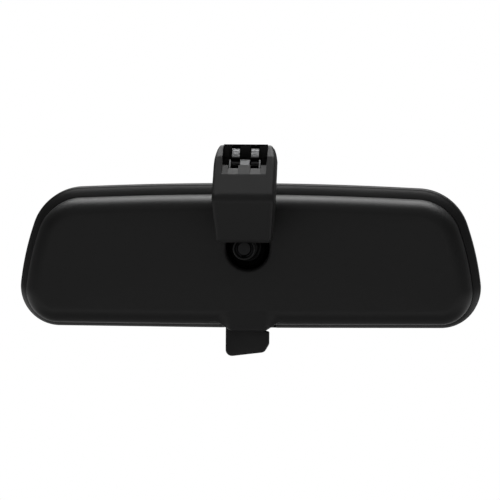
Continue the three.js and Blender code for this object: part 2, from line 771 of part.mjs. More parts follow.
const mirror = new THREE.Group();
mirror.add(armGroup, studGroup, jointGroup, caseGroup);
const [originY, originZ] = onSlope(windscreenFaceMiddle, 0);
mirror.position.set(0, -originY, -originZ);

export default mirror;
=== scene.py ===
"""Interior rearview mirror: fine surfaces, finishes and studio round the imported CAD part.

Everything is in metres in the row frame: X runs across the car, -Y is the windscreen side, +Y the
driver's side and +Z is up. The pieces are laid out in millimetres round the centre of the ball.
"""

import json
import logging
import math
from collections.abc import Sequence
from dataclasses import dataclass, field
from enum import Enum

import bmesh
import bpy
import numpy as np
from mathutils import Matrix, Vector

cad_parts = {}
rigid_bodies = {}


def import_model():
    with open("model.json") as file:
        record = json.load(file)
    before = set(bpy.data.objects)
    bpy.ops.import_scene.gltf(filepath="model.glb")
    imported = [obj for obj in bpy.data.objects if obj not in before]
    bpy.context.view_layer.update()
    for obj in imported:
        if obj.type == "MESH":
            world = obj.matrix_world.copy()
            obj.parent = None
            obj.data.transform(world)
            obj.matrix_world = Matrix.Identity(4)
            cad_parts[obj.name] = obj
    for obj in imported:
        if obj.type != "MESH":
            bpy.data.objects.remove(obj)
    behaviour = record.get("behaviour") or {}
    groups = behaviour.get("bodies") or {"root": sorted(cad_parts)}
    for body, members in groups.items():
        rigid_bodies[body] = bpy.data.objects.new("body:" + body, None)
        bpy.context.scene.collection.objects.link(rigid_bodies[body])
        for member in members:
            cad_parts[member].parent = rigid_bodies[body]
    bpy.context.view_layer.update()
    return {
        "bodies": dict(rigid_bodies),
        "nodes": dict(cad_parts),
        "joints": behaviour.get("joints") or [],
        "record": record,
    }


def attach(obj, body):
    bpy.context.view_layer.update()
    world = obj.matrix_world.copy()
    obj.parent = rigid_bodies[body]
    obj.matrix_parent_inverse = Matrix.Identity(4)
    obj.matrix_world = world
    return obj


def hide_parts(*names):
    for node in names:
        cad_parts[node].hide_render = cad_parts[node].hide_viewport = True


log = logging.getLogger("mirror")

Array = np.ndarray
BALL_CENTRE = np.array([0.0, 37.1148, -35.1219])
MILLIMETRE = 0.001


# ---- Surfaces ------------------------------------------------------------------------------


@dataclass
class Surface:
    """A mesh in numpy: points in millimetres round the ball, and its quads and end caps."""

    points: Array
    faces: list[Array] = field(default_factory=list)

    @staticmethod
    def grid(
        points: Array,
        wrap_rows: bool = False,
        wrap_columns: bool = True,
        caps: bool = False,
    ) -> "Surface":
        """Joins a grid of points (row, column, xyz) into quads: point (i, j) with its next neighbours.

        Args:
            points: Grid of points, one row for each station and one column for each place along it.
            wrap_rows: Whether the last row joins the first.
            wrap_columns: Whether the last column joins the first.
            caps: Whether the first and the last row are closed by one face each.

        Returns:
            The surface of quads, with its caps.
        """
        rows, columns = points.shape[:2]
        index = np.arange(rows * columns).reshape(rows, columns)
        if wrap_rows:
            index = np.vstack([index, index[:1]])
        if wrap_columns:
            index = np.hstack([index, index[:, :1]])
        quads = np.stack([index[:-1, :-1], index[:-1, 1:], index[1:, 1:], index[1:, :-1]], axis=-1)
        faces = [quads.reshape(-1, 4)]
        if caps:
            faces += [index[:1, :columns], index[-1:, :columns]]
        return Surface(points.reshape(-1, 3), faces)

    def joined(self, *others: "Surface") -> "Surface":
        """Puts other surfaces into the same mesh, each with its own points.

        Args:
            others: Surfaces to add.

        Returns:
            One surface with all the faces.
        """
        points, faces = [self.points], list(self.faces)
        start = len(self.points)
        for other in others:
            points.append(other.points)
            faces += [block + start for block in other.faces]
            start += len(other.points)
        return Surface(np.vstack(points), faces)

    def moved(self, offset: Sequence[float]) -> "Surface":
        """Moves every point by an offset."""
        return Surface(self.points + np.asarray(offset, float), self.faces)

    def turned_x(self, angle: float, centre: Sequence[float] = (0, 0, 0)) -> "Surface":
        """Turns every point about an axis along X through a centre.

        Args:
            angle: Angle in radians, by the right-hand rule.
            centre: A point on the axis.

        Returns:
            The turned surface.
        """
        turn = np.array([
            [1, 0, 0],
            [0, math.cos(angle), -math.sin(angle)],
            [0, math.sin(angle), math.cos(angle)],
        ])
        middle = np.asarray(centre, float)
        return Surface((self.points - middle) @ turn.T + middle, self.faces)

    def placed(self, name: str, sharp: float = 32.0) -> bpy.types.Object:
        """Makes the Blender object, with its place in its mesh.

        Args:
            name: The piece's name.
            sharp: Angle in degrees past which an edge stays sharp.

        Returns:
            The object, linked to the scene.
        """
        mesh = bpy.data.meshes.new(name)
        vertices = (self.points + BALL_CENTRE) * MILLIMETRE
        faces = [face for block in self.faces for face in block.tolist()]
        mesh.from_pydata(vertices.tolist(), [], faces)
        shape = bmesh.new()
        shape.from_mesh(mesh)
        bmesh.ops.remove_doubles(shape, verts=shape.verts, dist=2e-6)
        bmesh.ops.dissolve_degenerate(shape, edges=shape.edges, dist=1e-7)
        bmesh.ops.recalc_face_normals(shape, faces=shape.faces)
        shape.to_mesh(mesh)
        shape.free()
        mesh.shade_smooth()
        mesh.set_sharp_from_angle(angle=math.radians(sharp))
        piece = bpy.data.objects.new(name, mesh)
        bpy.context.scene.collection.objects.link(piece)
        return piece


def arc(centre: Sequence[float], radii: Sequence[float], start: float, end: float, steps: int) -> Array:
    """Points centre + (a cos t, b sin t) for t from start to end, in degrees, with both ends.

    Args:
        centre: The arc's centre.
        radii: Its half axes a and b.
        start: First angle in degrees.
        end: Last angle in degrees.
        steps: Number of chords.

    Returns:
        Array of points (steps + 1, 2).
    """
    t = np.radians(np.linspace(start, end, steps + 1))
    return np.stack([centre[0] + radii[0] * np.cos(t), centre[1] + radii[1] * np.sin(t)], axis=1)


def line(start: Sequence[float], end: Sequence[float], steps: int) -> Array:
    """Evenly spaced points from start to end, both included."""
    return np.linspace(np.asarray(start, float), np.asarray(end, float), steps + 1)


def without_repeats(points: Array, closed: bool = False) -> Array:
    """Drops a point that lies on the one before it, and the last one if it closes on the first.

    Args:
        points: Points in order.
        closed: Whether the last point leads back to the first.

    Returns:
        The points that are left.
    """
    previous = np.roll(points, 1, axis=0)
    keep = np.linalg.norm(points - previous, axis=1) > 1e-6
    if not closed:
        keep[0] = True
    return points[keep]


def rounded(corners: Sequence[Sequence[float]], step: float = 1.0, bend: float = 6.0) -> Array:
    """Closed outline through corners (a, b, radius), each replaced by the arc that touches its two edges.

    An arc has one chord for each `bend` degrees of its turn, and a straight run one for each `step`.

    Args:
        corners: Corners in order, with the radius of each.
        step: Longest chord on a straight run, in millimetres.
        bend: Degrees turned by each chord of an arc.

    Returns:
        Array of points (n, 2).
    """
    given = np.asarray(corners, float)
    before = given[:, :2] - np.roll(given[:, :2], 1, axis=0)
    before /= np.linalg.norm(before, axis=1, keepdims=True)
    after = np.roll(before, -1, axis=0)
    turn = np.arctan2(before[:, 0] * after[:, 1] - before[:, 1] * after[:, 0], (before * after).sum(1))
    reach = given[:, 2] * np.tan(np.abs(turn) / 2)
    starts = given[:, :2] - before * reach[:, None]
    ends = given[:, :2] + after * reach[:, None]
    runs = []
    for i, (x, y, radius) in enumerate(given):
        side = math.copysign(1.0, turn[i])
        centre = starts[i] + side * radius * np.array([-before[i, 1], before[i, 0]])
        first = math.degrees(math.atan2(*(starts[i] - centre)[::-1])) if radius > 0 else 0.0
        if radius > 0:
            by_turn = math.ceil(abs(math.degrees(turn[i])) / bend)
            by_length = math.ceil(radius * abs(turn[i]) / (3 * step))
            chords = max(2, by_turn, by_length)
            runs.append(arc(centre, (radius, radius), first, first + math.degrees(turn[i]), chords))
        else:
            runs.append(np.array([[x, y]]))
        target = starts[(i + 1) % len(given)]
        length = np.linalg.norm(target - ends[i])
        if length > step:
            runs.append(line(ends[i], target, math.ceil(length / step))[1:-1])
    return without_repeats(np.vstack(runs), closed=True)


def normals_of(outline: Array) -> Array:
    """Outward unit normals of an anticlockwise outline, from the chord between each point's neighbours.

    Args:
        outline: Closed outline, points (n, 2).

    Returns:
        Unit normals, one for each point.
    """
    along = np.roll(outline, -1, axis=0) - np.roll(outline, 1, axis=0)
    along /= np.linalg.norm(along, axis=1, keepdims=True)
    return np.stack([along[:, 1], -along[:, 0]], axis=1)


def swept_edge(outline: Array, profile: Array, plane: str = "xz", caps: bool = True) -> Surface:
    """A plate or ring: each profile point (d, h) draws the outline moved outward by d, at height h.

    Args:
        outline: Anticlockwise outline in the plate's plane.
        profile: Points (outward offset, height across the plate).
        plane: "xz" for a plate across Y, or "yz" for a plate across X.
        caps: True for a plate, False for a ring whose profile is a closed loop.

    Returns:
        The closed surface.
    """
    normals = normals_of(outline)
    flat = outline[None] + profile[:, :1, None] * normals[None]
    height = np.broadcast_to(profile[:, 1:, None], flat.shape[:2] + (1,))
    if plane == "xz":
        points = np.concatenate([flat[..., :1], height, flat[..., 1:]], axis=-1)
    else:
        points = np.concatenate([height, flat], axis=-1)
    return Surface.grid(points, wrap_rows=not caps, caps=caps)


def plate_profile(low: float, high: float, edge: float, steps: int = 4) -> Array:
    """Side of a plate between two heights whose edges are quarter rounds of the radius `edge`.

    Args:
        low: Height of the lower face.
        high: Height of the upper face.
        edge: Radius of the edges.
        steps: Chords in each quarter round.

    Returns:
        Points (outward offset, height).
    """
    return np.vstack([
        arc((-edge, low + edge), (edge, edge), -90, 0, steps),
        arc((-edge, high - edge), (edge, edge), 0, 90, steps),
    ])


def lathe(profile: Array, sides: int = 64, axis: str = "y", closed: bool = False) -> Surface:
    """Turns a profile (radius, height) round an axis: (r cos t, h, r sin t) for t over a full turn.

    Args:
        profile: Points (radius, height along the axis).
        sides: Number of steps round the axis.
        axis: "x", "y" or "z".
        closed: Whether the profile is a closed loop.

    Returns:
        The turned surface, with its poles merged when it is placed.
    """
    t = np.linspace(0, 2 * math.pi, sides, endpoint=False)
    radius, height = profile[:, :1], profile[:, 1:]
    a, b, h = radius * np.cos(t), radius * np.sin(t), np.broadcast_to(height, (len(profile), sides))
    order = {"y": (a, h, b), "x": (h, a, b), "z": (a, b, h)}[axis]
    return Surface.grid(np.stack(order, axis=-1), wrap_rows=closed)


def block(low: Sequence[float], high: Sequence[float], edge: float = 0.3) -> Surface:
    """A moulded bar: a rectangle in X and Z with rounded corners, carried along Y with rounded ends.

    Args:
        low: Corner with the least x, y and z.
        high: Corner with the most x, y and z.
        edge: Radius of the edges.

    Returns:
        The closed bar.
    """
    (x0, y0, z0), (x1, y1, z1) = low, high
    radius = min(edge, 0.45 * min(x1 - x0, z1 - z0, y1 - y0))
    corners = [(x0, z0, radius * 1.2), (x1, z0, radius * 1.2), (x1, z1, radius * 1.2), (x0, z1, radius * 1.2)]
    outline = rounded(corners, step=max(x1 - x0, z1 - z0) / 3, bend=30)
    return swept_edge(outline, plate_profile(y0, y1, radius, 3))


def smooth_step(value: Array, start: float, end: float) -> Array:
    """0 before start, 1 after end and 3t^2 - 2t^3 between them."""
    t = np.clip((value - start) / (end - start), 0, 1)
    return t * t * (3 - 2 * t)


# ---- Finishes ------------------------------------------------------------------------------


class Signal:
    """A shader socket that takes part in ordinary arithmetic; each operation adds one Math node."""

    def __init__(self, bench: "Bench", socket: bpy.types.NodeSocket) -> None:
        """Wraps a socket of the bench's material."""
        self.bench = bench
        self.socket = socket

    def _maths(self, operation: str, *values: "Signal | float") -> "Signal":
        """One Math node of that operation on the values."""
        node = self.bench.add("ShaderNodeMath", {"operation": operation}, dict(enumerate(values)))
        return Signal(self.bench, node.outputs[0])

    def __add__(self, other: "Signal | float") -> "Signal":
        """Sum."""
        return self._maths("ADD", self, other)

    def __radd__(self, other: float) -> "Signal":
        """Sum with a number on the left."""
        return self._maths("ADD", other, self)

    def __sub__(self, other: "Signal | float") -> "Signal":
        """Difference."""
        return self._maths("SUBTRACT", self, other)

    def __rsub__(self, other: float) -> "Signal":
        """Difference with a number on the left."""
        return self._maths("SUBTRACT", other, self)

    def __mul__(self, other: "Signal | float") -> "Signal":
        """Product."""
        return self._maths("MULTIPLY", self, other)

    def __rmul__(self, other: float) -> "Signal":
        """Product with a number on the left."""
        return self._maths("MULTIPLY", other, self)

    def clipped(self, start: float, end: float) -> "Signal":
        """0 below start, 1 above end and a smooth ramp between them.

        Args:
            start: Value that becomes 0.
            end: Value that becomes 1.

        Returns:
            The ramp as a signal.
        """
        settings = {"interpolation_type": "SMOOTHSTEP", "clamp": True}
        values = {"Value": self, "From Min": start, "From Max": end}
        return Signal(self.bench, self.bench.add("ShaderNodeMapRange", settings, values).outputs[0])


class Bench:
    """The node tree of one material."""

    def __init__(self, name: str) -> None:
        """Starts a material with only its output node.

        Args:
            name: The material's name.
        """
        self.material = bpy.data.materials.new(name)
        self.material.use_nodes = True
        self.tree = self.material.node_tree
        self.tree.nodes.clear()
        self.output = self.tree.nodes.new("ShaderNodeOutputMaterial")
        self.place = self.add("ShaderNodeTexCoord").outputs["Object"]

    def add(
        self,
        kind: str,
        settings: dict[str, object] | None = None,
        values: "dict[str | int, object] | None" = None,
    ) -> bpy.types.Node:
        """Adds any node: its settings first, then a value or a link for each socket named.

        Args:
            kind: The node's type.
            settings: Its own properties, such as a Math node's operation.
            values: Socket name or number to a number, colour, socket or Signal.

        Returns:
            The new node.
        """
        node = self.tree.nodes.new(kind)
        for name, value in (settings or {}).items():
            setattr(node, name, value)
        for name, value in (values or {}).items():
            if isinstance(value, Signal):
                self.tree.links.new(value.socket, node.inputs[name])
            elif isinstance(value, bpy.types.NodeSocket):
                self.tree.links.new(value, node.inputs[name])
            else:
                node.inputs[name].default_value = value
        return node

    def stretched(self, scale: Sequence[float]) -> bpy.types.NodeSocket:
        """The place on the piece with each axis scaled, for brushed and drawn marks."""
        node = self.add("ShaderNodeMapping", {"vector_type": "POINT"}, {"Vector": self.place, "Scale": scale})
        return node.outputs[0]

    def noise(
        self,
        scale: float,
        detail: float = 2.0,
        roughness: float = 0.5,
        vector: bpy.types.NodeSocket | None = None,
    ) -> Signal:
        """Cloudy value from 0 to 1, in `scale` cycles to the metre."""
        values = {"Vector": vector or self.place, "Scale": scale, "Detail": detail, "Roughness": roughness}
        return Signal(self, self.add("ShaderNodeTexNoise", {}, values).outputs[0])

    def cells(self, scale: float, feature: str = "F1") -> Signal:
        """Distance to the nearest of scattered cell centres, in `scale` cells to the metre."""
        node = self.add("ShaderNodeTexVoronoi", {"feature": feature}, {"Vector": self.place, "Scale": scale})
        return Signal(self, node.outputs["Distance"])

    def blend(self, factor: Signal, first: Sequence[float], second: Sequence[float]) -> bpy.types.NodeSocket:
        """Colour between two colours.

        Args:
            factor: 0 for the first colour, 1 for the second.
            first: First colour.
            second: Second colour.

        Returns:
            The colour socket of the mix.
        """
        settings = {"data_type": "RGBA", "blend_type": "MIX"}
        node = self.add("ShaderNodeMix", settings, {0: factor, 6: (*first, 1.0), 7: (*second, 1.0)})
        return node.outputs[2]

    def bump(self, relief: Signal, depth: float) -> bpy.types.NodeSocket:
        """Normal bent by a relief of that depth in metres."""
        values = {"Strength": 1.0, "Distance": depth, "Height": relief}
        return self.add("ShaderNodeBump", {}, values).outputs[0]

    def finished(self, **sockets: object) -> bpy.types.Material:
        """Closes the material with one Principled shader whose sockets are given by name.

        Args:
            sockets: Socket names, with an underscore for each space, and their values.

        Returns:
            The finished material.
        """
        values = {name.replace("_", " "): value for name, value in sockets.items()}
        shader = self.add("ShaderNodeBsdfPrincipled", {}, values)
        self.tree.links.new(shader.outputs[0], self.output.inputs[0])
        return self.material


@dataclass(frozen=True)
class MouldedPlastic:
    """Injection-moulded black plastic: fine spark-eroded grain, cloudy gloss, faint scuffs and dust."""

    name: str
    shade: float = 0.012
    gloss: float = 0.5
    grain: float = 2600.0
    relief: float = 0.000016
    scuffs: float = 0.5
    specular: float = 0.5

    def material(self) -> bpy.types.Material:
        """Builds the finish.

        Returns:
            The finished material.
        """
        bench = Bench(self.name)
        pits = bench.cells(self.grain)
        grit = bench.noise(self.grain * 1.9, 3.0, 0.6)
        flow = bench.noise(34.0, 3.0, 0.55)
        rubbed = bench.noise(620.0, 4.0, 0.7, bench.stretched((0.5, 1.0, 2.4))).clipped(0.62, 0.78)
        patches = bench.noise(75.0, 2.0, 0.5).clipped(0.45, 0.7)
        scuff = rubbed * patches * self.scuffs
        dark = (self.shade * 0.82, self.shade * 0.82, self.shade * 0.83)
        pale = (self.shade * 1.5, self.shade * 1.48, self.shade * 1.46)
        relief = pits * 0.7 + grit * 0.45
        return bench.finished(
            Base_Color=bench.blend((flow * 0.55 + scuff).clipped(0.1, 1.0), dark, pale),
            Roughness=flow * 0.1 + grit * 0.06 + scuff * 0.12 + (self.gloss - 0.08),
            Specular_IOR_Level=self.specular,
            Normal=bench.bump(relief, self.relief),
        )


@dataclass(frozen=True)
class WorkedMetal:
    """Drawn, plated or turned metal: fine marks along one axis, cloudy plating and small dark stains."""

    name: str
    colour: tuple[float, float, float] = (0.62, 0.63, 0.64)
    gloss: float = 0.3
    marks: tuple[float, float, float] = (0.12, 1.0, 1.0)
    relief: float = 0.000004
    stain: float = 0.35

    def material(self) -> bpy.types.Material:
        """Builds the finish.

        Returns:
            The finished material.
        """
        bench = Bench(self.name)
        drawn = bench.noise(5200.0, 4.0, 0.6, bench.stretched(self.marks))
        cloud = bench.noise(260.0, 3.0, 0.55)
        spots = bench.noise(900.0, 3.0, 0.6).clipped(0.6, 0.75)
        stained = (spots * self.stain + cloud * 0.3).clipped(0.05, 0.9)
        worn = tuple(0.58 * channel for channel in self.colour)
        return bench.finished(
            Base_Color=bench.blend(stained, self.colour, worn),
            Roughness=drawn * 0.16 + stained * 0.18 + (self.gloss - 0.1),
            Metallic=1.0 - stained * 0.12,
            Normal=bench.bump(drawn + spots * 0.5, self.relief),
        )


@dataclass(frozen=True)
class PorousSoft:
    """Foam, felt or rubber: open cells or a dusty skin, dull all over."""

    name: str
    shade: tuple[float, float, float] = (0.03, 0.03, 0.032)
    cell: float = 1500.0
    relief: float = 0.00012
    gloss: float = 0.9

    def material(self) -> bpy.types.Material:
        """Builds the finish.

        Returns:
            The finished material.
        """
        bench = Bench(self.name)
        cells = bench.cells(self.cell)
        dust = bench.noise(190.0, 4.0, 0.6)
        # Where the cells' bump is lowest, in the pits, the colour goes darker: painted shade in the pits,
        # mixed with a random dust tone.
        deep = tuple(0.55 * channel for channel in self.shade)
        tone = (cells * 0.8 + dust * 0.4).clipped(0.2, 0.9)
        return bench.finished(
            Base_Color=bench.blend(tone, deep, self.shade),
            Roughness=dust * 0.1 + (self.gloss - 0.06),
            Normal=bench.bump(cells + dust * 0.3, self.relief),
        )


@dataclass(frozen=True)
class SilveredGlass:
    """Prism glass silvered on its back: near-perfect reflection, faint haze and wiping marks."""

    name: str = "silvered_glass"
    tint: tuple[float, float, float] = (0.86, 0.89, 0.9)

    def material(self) -> bpy.types.Material:
        """Builds the finish.

        Returns:
            The finished material.
        """
        bench = Bench(self.name)
        haze = bench.noise(26.0, 3.0, 0.5)
        wiped = bench.noise(240.0, 3.0, 0.6, bench.stretched((0.25, 1.0, 1.6)))
        dull = tuple(0.93 * channel for channel in self.tint)
        return bench.finished(
            Base_Color=bench.blend((haze + wiped * 0.3).clipped(0.3, 1.0), self.tint, dull),
            Metallic=1.0,
            Roughness=(haze * wiped).clipped(0.15, 0.6) * 0.03 + 0.012,
            Coat_Weight=1.0,
            Coat_Roughness=0.01,
            Normal=bench.bump(haze, 0.000006),
        )


@dataclass(frozen=True)
class StudioWhite:
    """Pale matt paint of the floor, which glows more and more away from the middle."""

    name: str = "studio_white"
    colour: tuple[float, float, float] = (0.86, 0.86, 0.86)
    glow: float = 0.0
    lit_from: tuple[float, float] = (1.35, 2.06)

    def material(self) -> bpy.types.Material:
        """Builds the finish.

        Returns:
            The finished material.
        """
        bench = Bench(self.name)
        mottle = bench.noise(3.0, 2.0, 0.5)
        pale = tuple(min(1.0, 1.03 * channel) for channel in self.colour)
        reach = bench.add("ShaderNodeVectorMath", {"operation": "LENGTH"}, {0: bench.place})
        lit = Signal(bench, reach.outputs["Value"]).clipped(*self.lit_from)
        return bench.finished(
            Base_Color=bench.blend(mottle, self.colour, pale),
            Roughness=mottle * 0.1 + 0.8,
            Emission_Color=bench.blend(lit, (0.0, 0.0, 0.0), pale),
            Emission_Strength=self.glow,
        )


class Slot(Enum):
    """The record's material slots and the finish of each."""

    GRAINED = ("grained_plastic", MouldedPlastic("grained_black", 0.006, 0.5, 2400.0, 0.000018, 0.5, 0.35))
    SATIN = ("satin_plastic", MouldedPlastic("satin_black", 0.006, 0.42, 3400.0, 0.000007, 0.4, 0.35))
    # The inner finish is a much darker, nearly unreflecting copy of the black plastic, for parts that sit in
    # the shade of the arm's mouth and of the ball recess: painted shade.
    INNER = ("inner_plastic", MouldedPlastic("inner_black_painted_shade", 0.0012, 0.6, 2000.0, 0.00001, 0.2, 0.02))
    SPRING = (
        "spring_steel",
        WorkedMetal("spring_steel", (0.38, 0.385, 0.39), 0.45, (0.5, 1.0, 1.0), 0.00001, 0.9),
    )
    PLATED = ("plated_steel", WorkedMetal("plated_steel", (0.58, 0.59, 0.6), 0.36, (1.0, 1.0, 0.5)))
    BLACKENED = (
        "blackened_steel",
        WorkedMetal("blackened_steel", (0.03, 0.03, 0.031), 0.5, (1.0, 0.6, 1.0), 0.00001),
    )
    NYLON = ("nylon", MouldedPlastic("black_nylon", 0.006, 0.5, 1800.0, 0.000008, 0.1, 0.3))
    GLASS = ("mirror_glass", SilveredGlass())
    FILM = ("backing_film", MouldedPlastic("backing_film", 0.01, 0.42, 900.0, 0.00001, 0.3))
    FOAM = ("foam", PorousSoft("foam"))
    RUBBER = ("rubber", PorousSoft("rubber", (0.016, 0.016, 0.017), 3200.0, 0.00003, 0.82))

    @property
    def label(self) -> str:
        """The slot's name in the record."""
        return self.value[0]


class Wardrobe:
    """Builds each finish once and dresses pieces with it."""

    def __init__(self) -> None:
        """Starts with no finish built."""
        self.built: dict[Slot, bpy.types.Material] = {}

    def dress(self, piece: bpy.types.Object, choice: Slot) -> None:
        """Gives a piece the finish of a slot.

        Args:
            piece: The piece to dress.
            choice: The slot whose finish it wears.
        """
        if choice not in self.built:
            self.built[choice] = choice.value[1].material()
        piece.data.materials.clear()
        piece.data.materials.append(self.built[choice])

    def fit(self, piece: bpy.types.Object, choice: Slot, body: str, *nodes: str) -> None:
        """Dresses a new piece, fixes it to a body and hides the nodes it stands for.

        Args:
            piece: The new piece.
            choice: The slot whose finish it wears.
            body: The body it rides on.
            nodes: The CAD nodes it stands for.
        """
        self.dress(piece, choice)
        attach(piece, body)
        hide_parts(*nodes)
        log.info("%s: %d faces, on %s", piece.name, len(piece.data.polygons), body)


# ---- Case ----------------------------------------------------------------------------------


@dataclass
class Case:
    """Rear shell, bezel ring and prism glass, all drawn from one outline in X and Z."""

    corners: tuple[tuple[float, float, float], ...] = (
        (0.0, -44.1, 6000.0),
        (125.3, -43.3, 21.0),
        (120.6, -5.0, 150.0),
        (109.5, 29.6, 28.0),
        (0.0, 34.4, 1800.0),
    )
    panel_y: float = -7.0
    crown: float = 0.3
    wall: float = 2.0
    shoulder: tuple[float, float] = (8.4, 9.0)
    overhang: float = 3.8
    drop: float = 1.4
    shell_end: float = 10.0
    rim: tuple[float, float] = (5.5, 19.0)
    rim_slope: float = 3.2
    rim_round: float = 3.0
    lip: float = 1.6
    window: float = 7.5
    recess: float = 11.5
    recess_round: float = 1.6
    slot_half: float = 12.8
    notch_half: float = 13.3
    glass_front: float = 17.0
    glass_middle: float = 4.3
    glass_wedge: float = math.radians(3.2)
    glass_height: float = -5.5
    glass_inset: float = 4.2
    lobe_half: float = 20.5
    lobe_low: float = -44.6
    lobe_high: float = -39.6
    lobe_top: float = -33.4
    lobe_front: float = -6.68
    lobe_back: float = -2.4
    lobe_edge: float = 1.2
    notch_y: float = 10.6
    rib_x: tuple[float, ...] = (-92.0, -62.0, 62.0, 92.0)
    hinge_ear_x: tuple[float, ...] = (-27.2, 27.2)
    lever_ear_x: tuple[float, ...] = (-15.0, 15.0)

    def outline(self) -> Array:
        """The bezel's outer edge: the right half's corners and their mirror images, rounded."""
        mirrored = [(-x, z, radius) for x, z, radius in self.corners[3:0:-1]]
        return rounded([*self.corners, *mirrored], step=0.36, bend=2.5)

    def near_slot(self, outline: Array, half: float, fade: float) -> Array:
        """1 on the bottom edge within `half` of the middle, 0 elsewhere, fading over `fade`."""
        inside = 1 - smooth_step(np.abs(outline[:, 0]), half, half + fade)
        return inside * (outline[:, 1] < 0)

    def shell(self) -> Surface:
        """Dish: the recess rim runs out to the outline, rounds over the shoulder and comes back inside.

        A row is w of the outline moved inward by d, and 1 - w of a circle of radius r, at height y.

        Returns:
            The closed dish.
        """
        outline = self.outline() - np.array([0.0, self.drop])
        normals = normals_of(outline)
        polar = outline / np.linalg.norm(outline, axis=1, keepdims=True)
        across, deep = self.shoulder
        brow = self.panel_y + self.crown + deep
        inner = self.panel_y + self.wall
        rolled = self.recess + self.recess_round
        edge = -self.overhang
        rows: list[tuple[float, float, float, float]] = []
        roll = self.recess_round
        rim = arc((rolled, self.panel_y + roll), (roll, roll), 180, 270, 8)
        panel = np.linspace(0, 1, 30)[1:-1]
        rows += [(0.0, 0.0, r, y) for r, y in rim]
        rows += [(w, edge - across, rolled, self.panel_y + self.crown * w * w) for w in panel]
        rows += [(1.0, d, 0.0, y) for d, y in arc((edge - across, brow), (across, deep), -90, 0, 16)]
        rows += [(1.0, edge, 0.0, y) for y in np.linspace(brow, self.shell_end, 6)[1:]]
        rows += [(1.0, edge - self.wall, 0.0, y) for y in np.linspace(self.shell_end, brow, 4)]
        thin = (across - self.wall, deep - self.wall)
        rows += [(1.0, d, 0.0, y) for d, y in arc((edge - across, brow), thin, 0, -90, 8)[1:]]
        rows += [(w, edge - across, rolled, inner + self.crown * w * w) for w in np.linspace(1, 0, 12)[1:-1]]
        rows += [(0.0, 0.0, self.recess, inner)]
        w, d, r, y = (np.array(column)[:, None] for column in zip(*rows))
        ring = outline[None] + d[..., None] * normals[None]
        circle = r[..., None] * polar[None]
        flat = w[..., None] * ring + (1 - w[..., None]) * circle
        end = self.shell_end - (self.shell_end - brow) * self.near_slot(outline, self.slot_half, 0.4)
        height = np.minimum(np.broadcast_to(y, flat.shape[:2]), end[None])
        return Surface.grid(np.stack([flat[..., 0], height, flat[..., 1]], axis=-1), wrap_rows=True)

    def shoulder_y(self, height: Array) -> Array:
        """Where the shell's surface lies, at a height above its bottom edge: the shoulder's ellipse.

        Args:
            height: Heights above the bottom edge.

        Returns:
            Y at each height.
        """
        across, deep = self.shoulder
        reach = np.clip(1 - height / across, 0, 1)
        return self.panel_y + self.crown + deep * (1 - np.sqrt(1 - reach * reach))

    def lobe(self) -> Surface:
        """Tongue under the shell: for each x a closed strip from a hidden top down to a bell-shaped foot.

        Its front leaves the shell's own surface at the sides and stands flush with the panel in the middle.

        Returns:
            The closed tongue.
        """
        half, low, high, top = self.lobe_half, self.lobe_low, self.lobe_high, self.lobe_top
        front, back, edge = self.lobe_front, self.lobe_back, self.lobe_edge
        bottom = self.corners[0][1] + self.overhang - self.drop
        x = np.linspace(-half, half, 121)
        foot = low + (high - low) * smooth_step(np.abs(x), 7.5, 18.0)
        out = 1 - smooth_step(np.abs(x), 8.5, 19.0)
        down = np.linspace(0, 1, 22)[:, None]
        z_front = top + (foot[None] + edge - top) * down
        own = self.shoulder_y(z_front - bottom) + 0.35
        y_front = own + out[None] * (front - own)
        t = np.linspace(0, math.pi, 11)[1:-1, None]
        start_y = y_front[-1:]
        reach = np.maximum(back - start_y, 0.2)
        z_turn = foot[None] + edge * (1 - np.sin(t))
        y_turn = start_y + reach * (0.5 - 0.5 * np.cos(t))
        up = np.linspace(1, 0, 6)[:, None]
        z_back = top + (foot[None] + edge - top) * up
        y_back = np.broadcast_to(start_y + reach, z_back.shape)
        z = np.vstack([z_front, z_turn, z_back])
        y = np.vstack([y_front, y_turn, y_back])
        points = np.stack([np.broadcast_to(x, z.shape), y, z], axis=-1)
        return Surface.grid(points.transpose(1, 0, 2), caps=True)

    def ribs(self) -> Surface:
        """Stiffening ribs and hinge ears moulded inside the shell.

        Returns:
            All the bars in one surface.
        """
        inside = self.panel_y + self.wall - 0.3
        bars = [block((x - 1, inside, -30), (x + 1, 7.4, 18), 0.4) for x in self.rib_x]
        bars += [block((x - 1.7, inside, 18.8), (x + 1.7, 4.5, 22.0), 0.5) for x in self.hinge_ear_x]
        bars += [block((x - 1.7, inside + 1.1, 18.8), (x + 1.7, 4.5, 24.4), 0.5) for x in self.hinge_ear_x]
        bars += [block((x - 1.6, inside, -36.9), (x + 1.6, 4.5, -31.5), 0.5) for x in self.lever_ear_x]
        return bars[0].joined(*bars[1:])

    def band(self, start: Sequence[float], end: Sequence[float], bulge: float) -> Array:
        """Shallow bow from start to end: the chord plus 4 t (1 - t) of the bulge, square to it.

        Args:
            start: First point (outward offset, height).
            end: Last point.
            bulge: How far the bow stands out from its chord.

        Returns:
            Points along the bow.
        """
        first, last = np.asarray(start, float), np.asarray(end, float)
        chord = last - first
        out = np.array([chord[1], -chord[0]]) / np.linalg.norm(chord)
        t = np.linspace(0, 1, 13)[:, None]
        return first + t * chord + 4 * t * (1 - t) * bulge * out

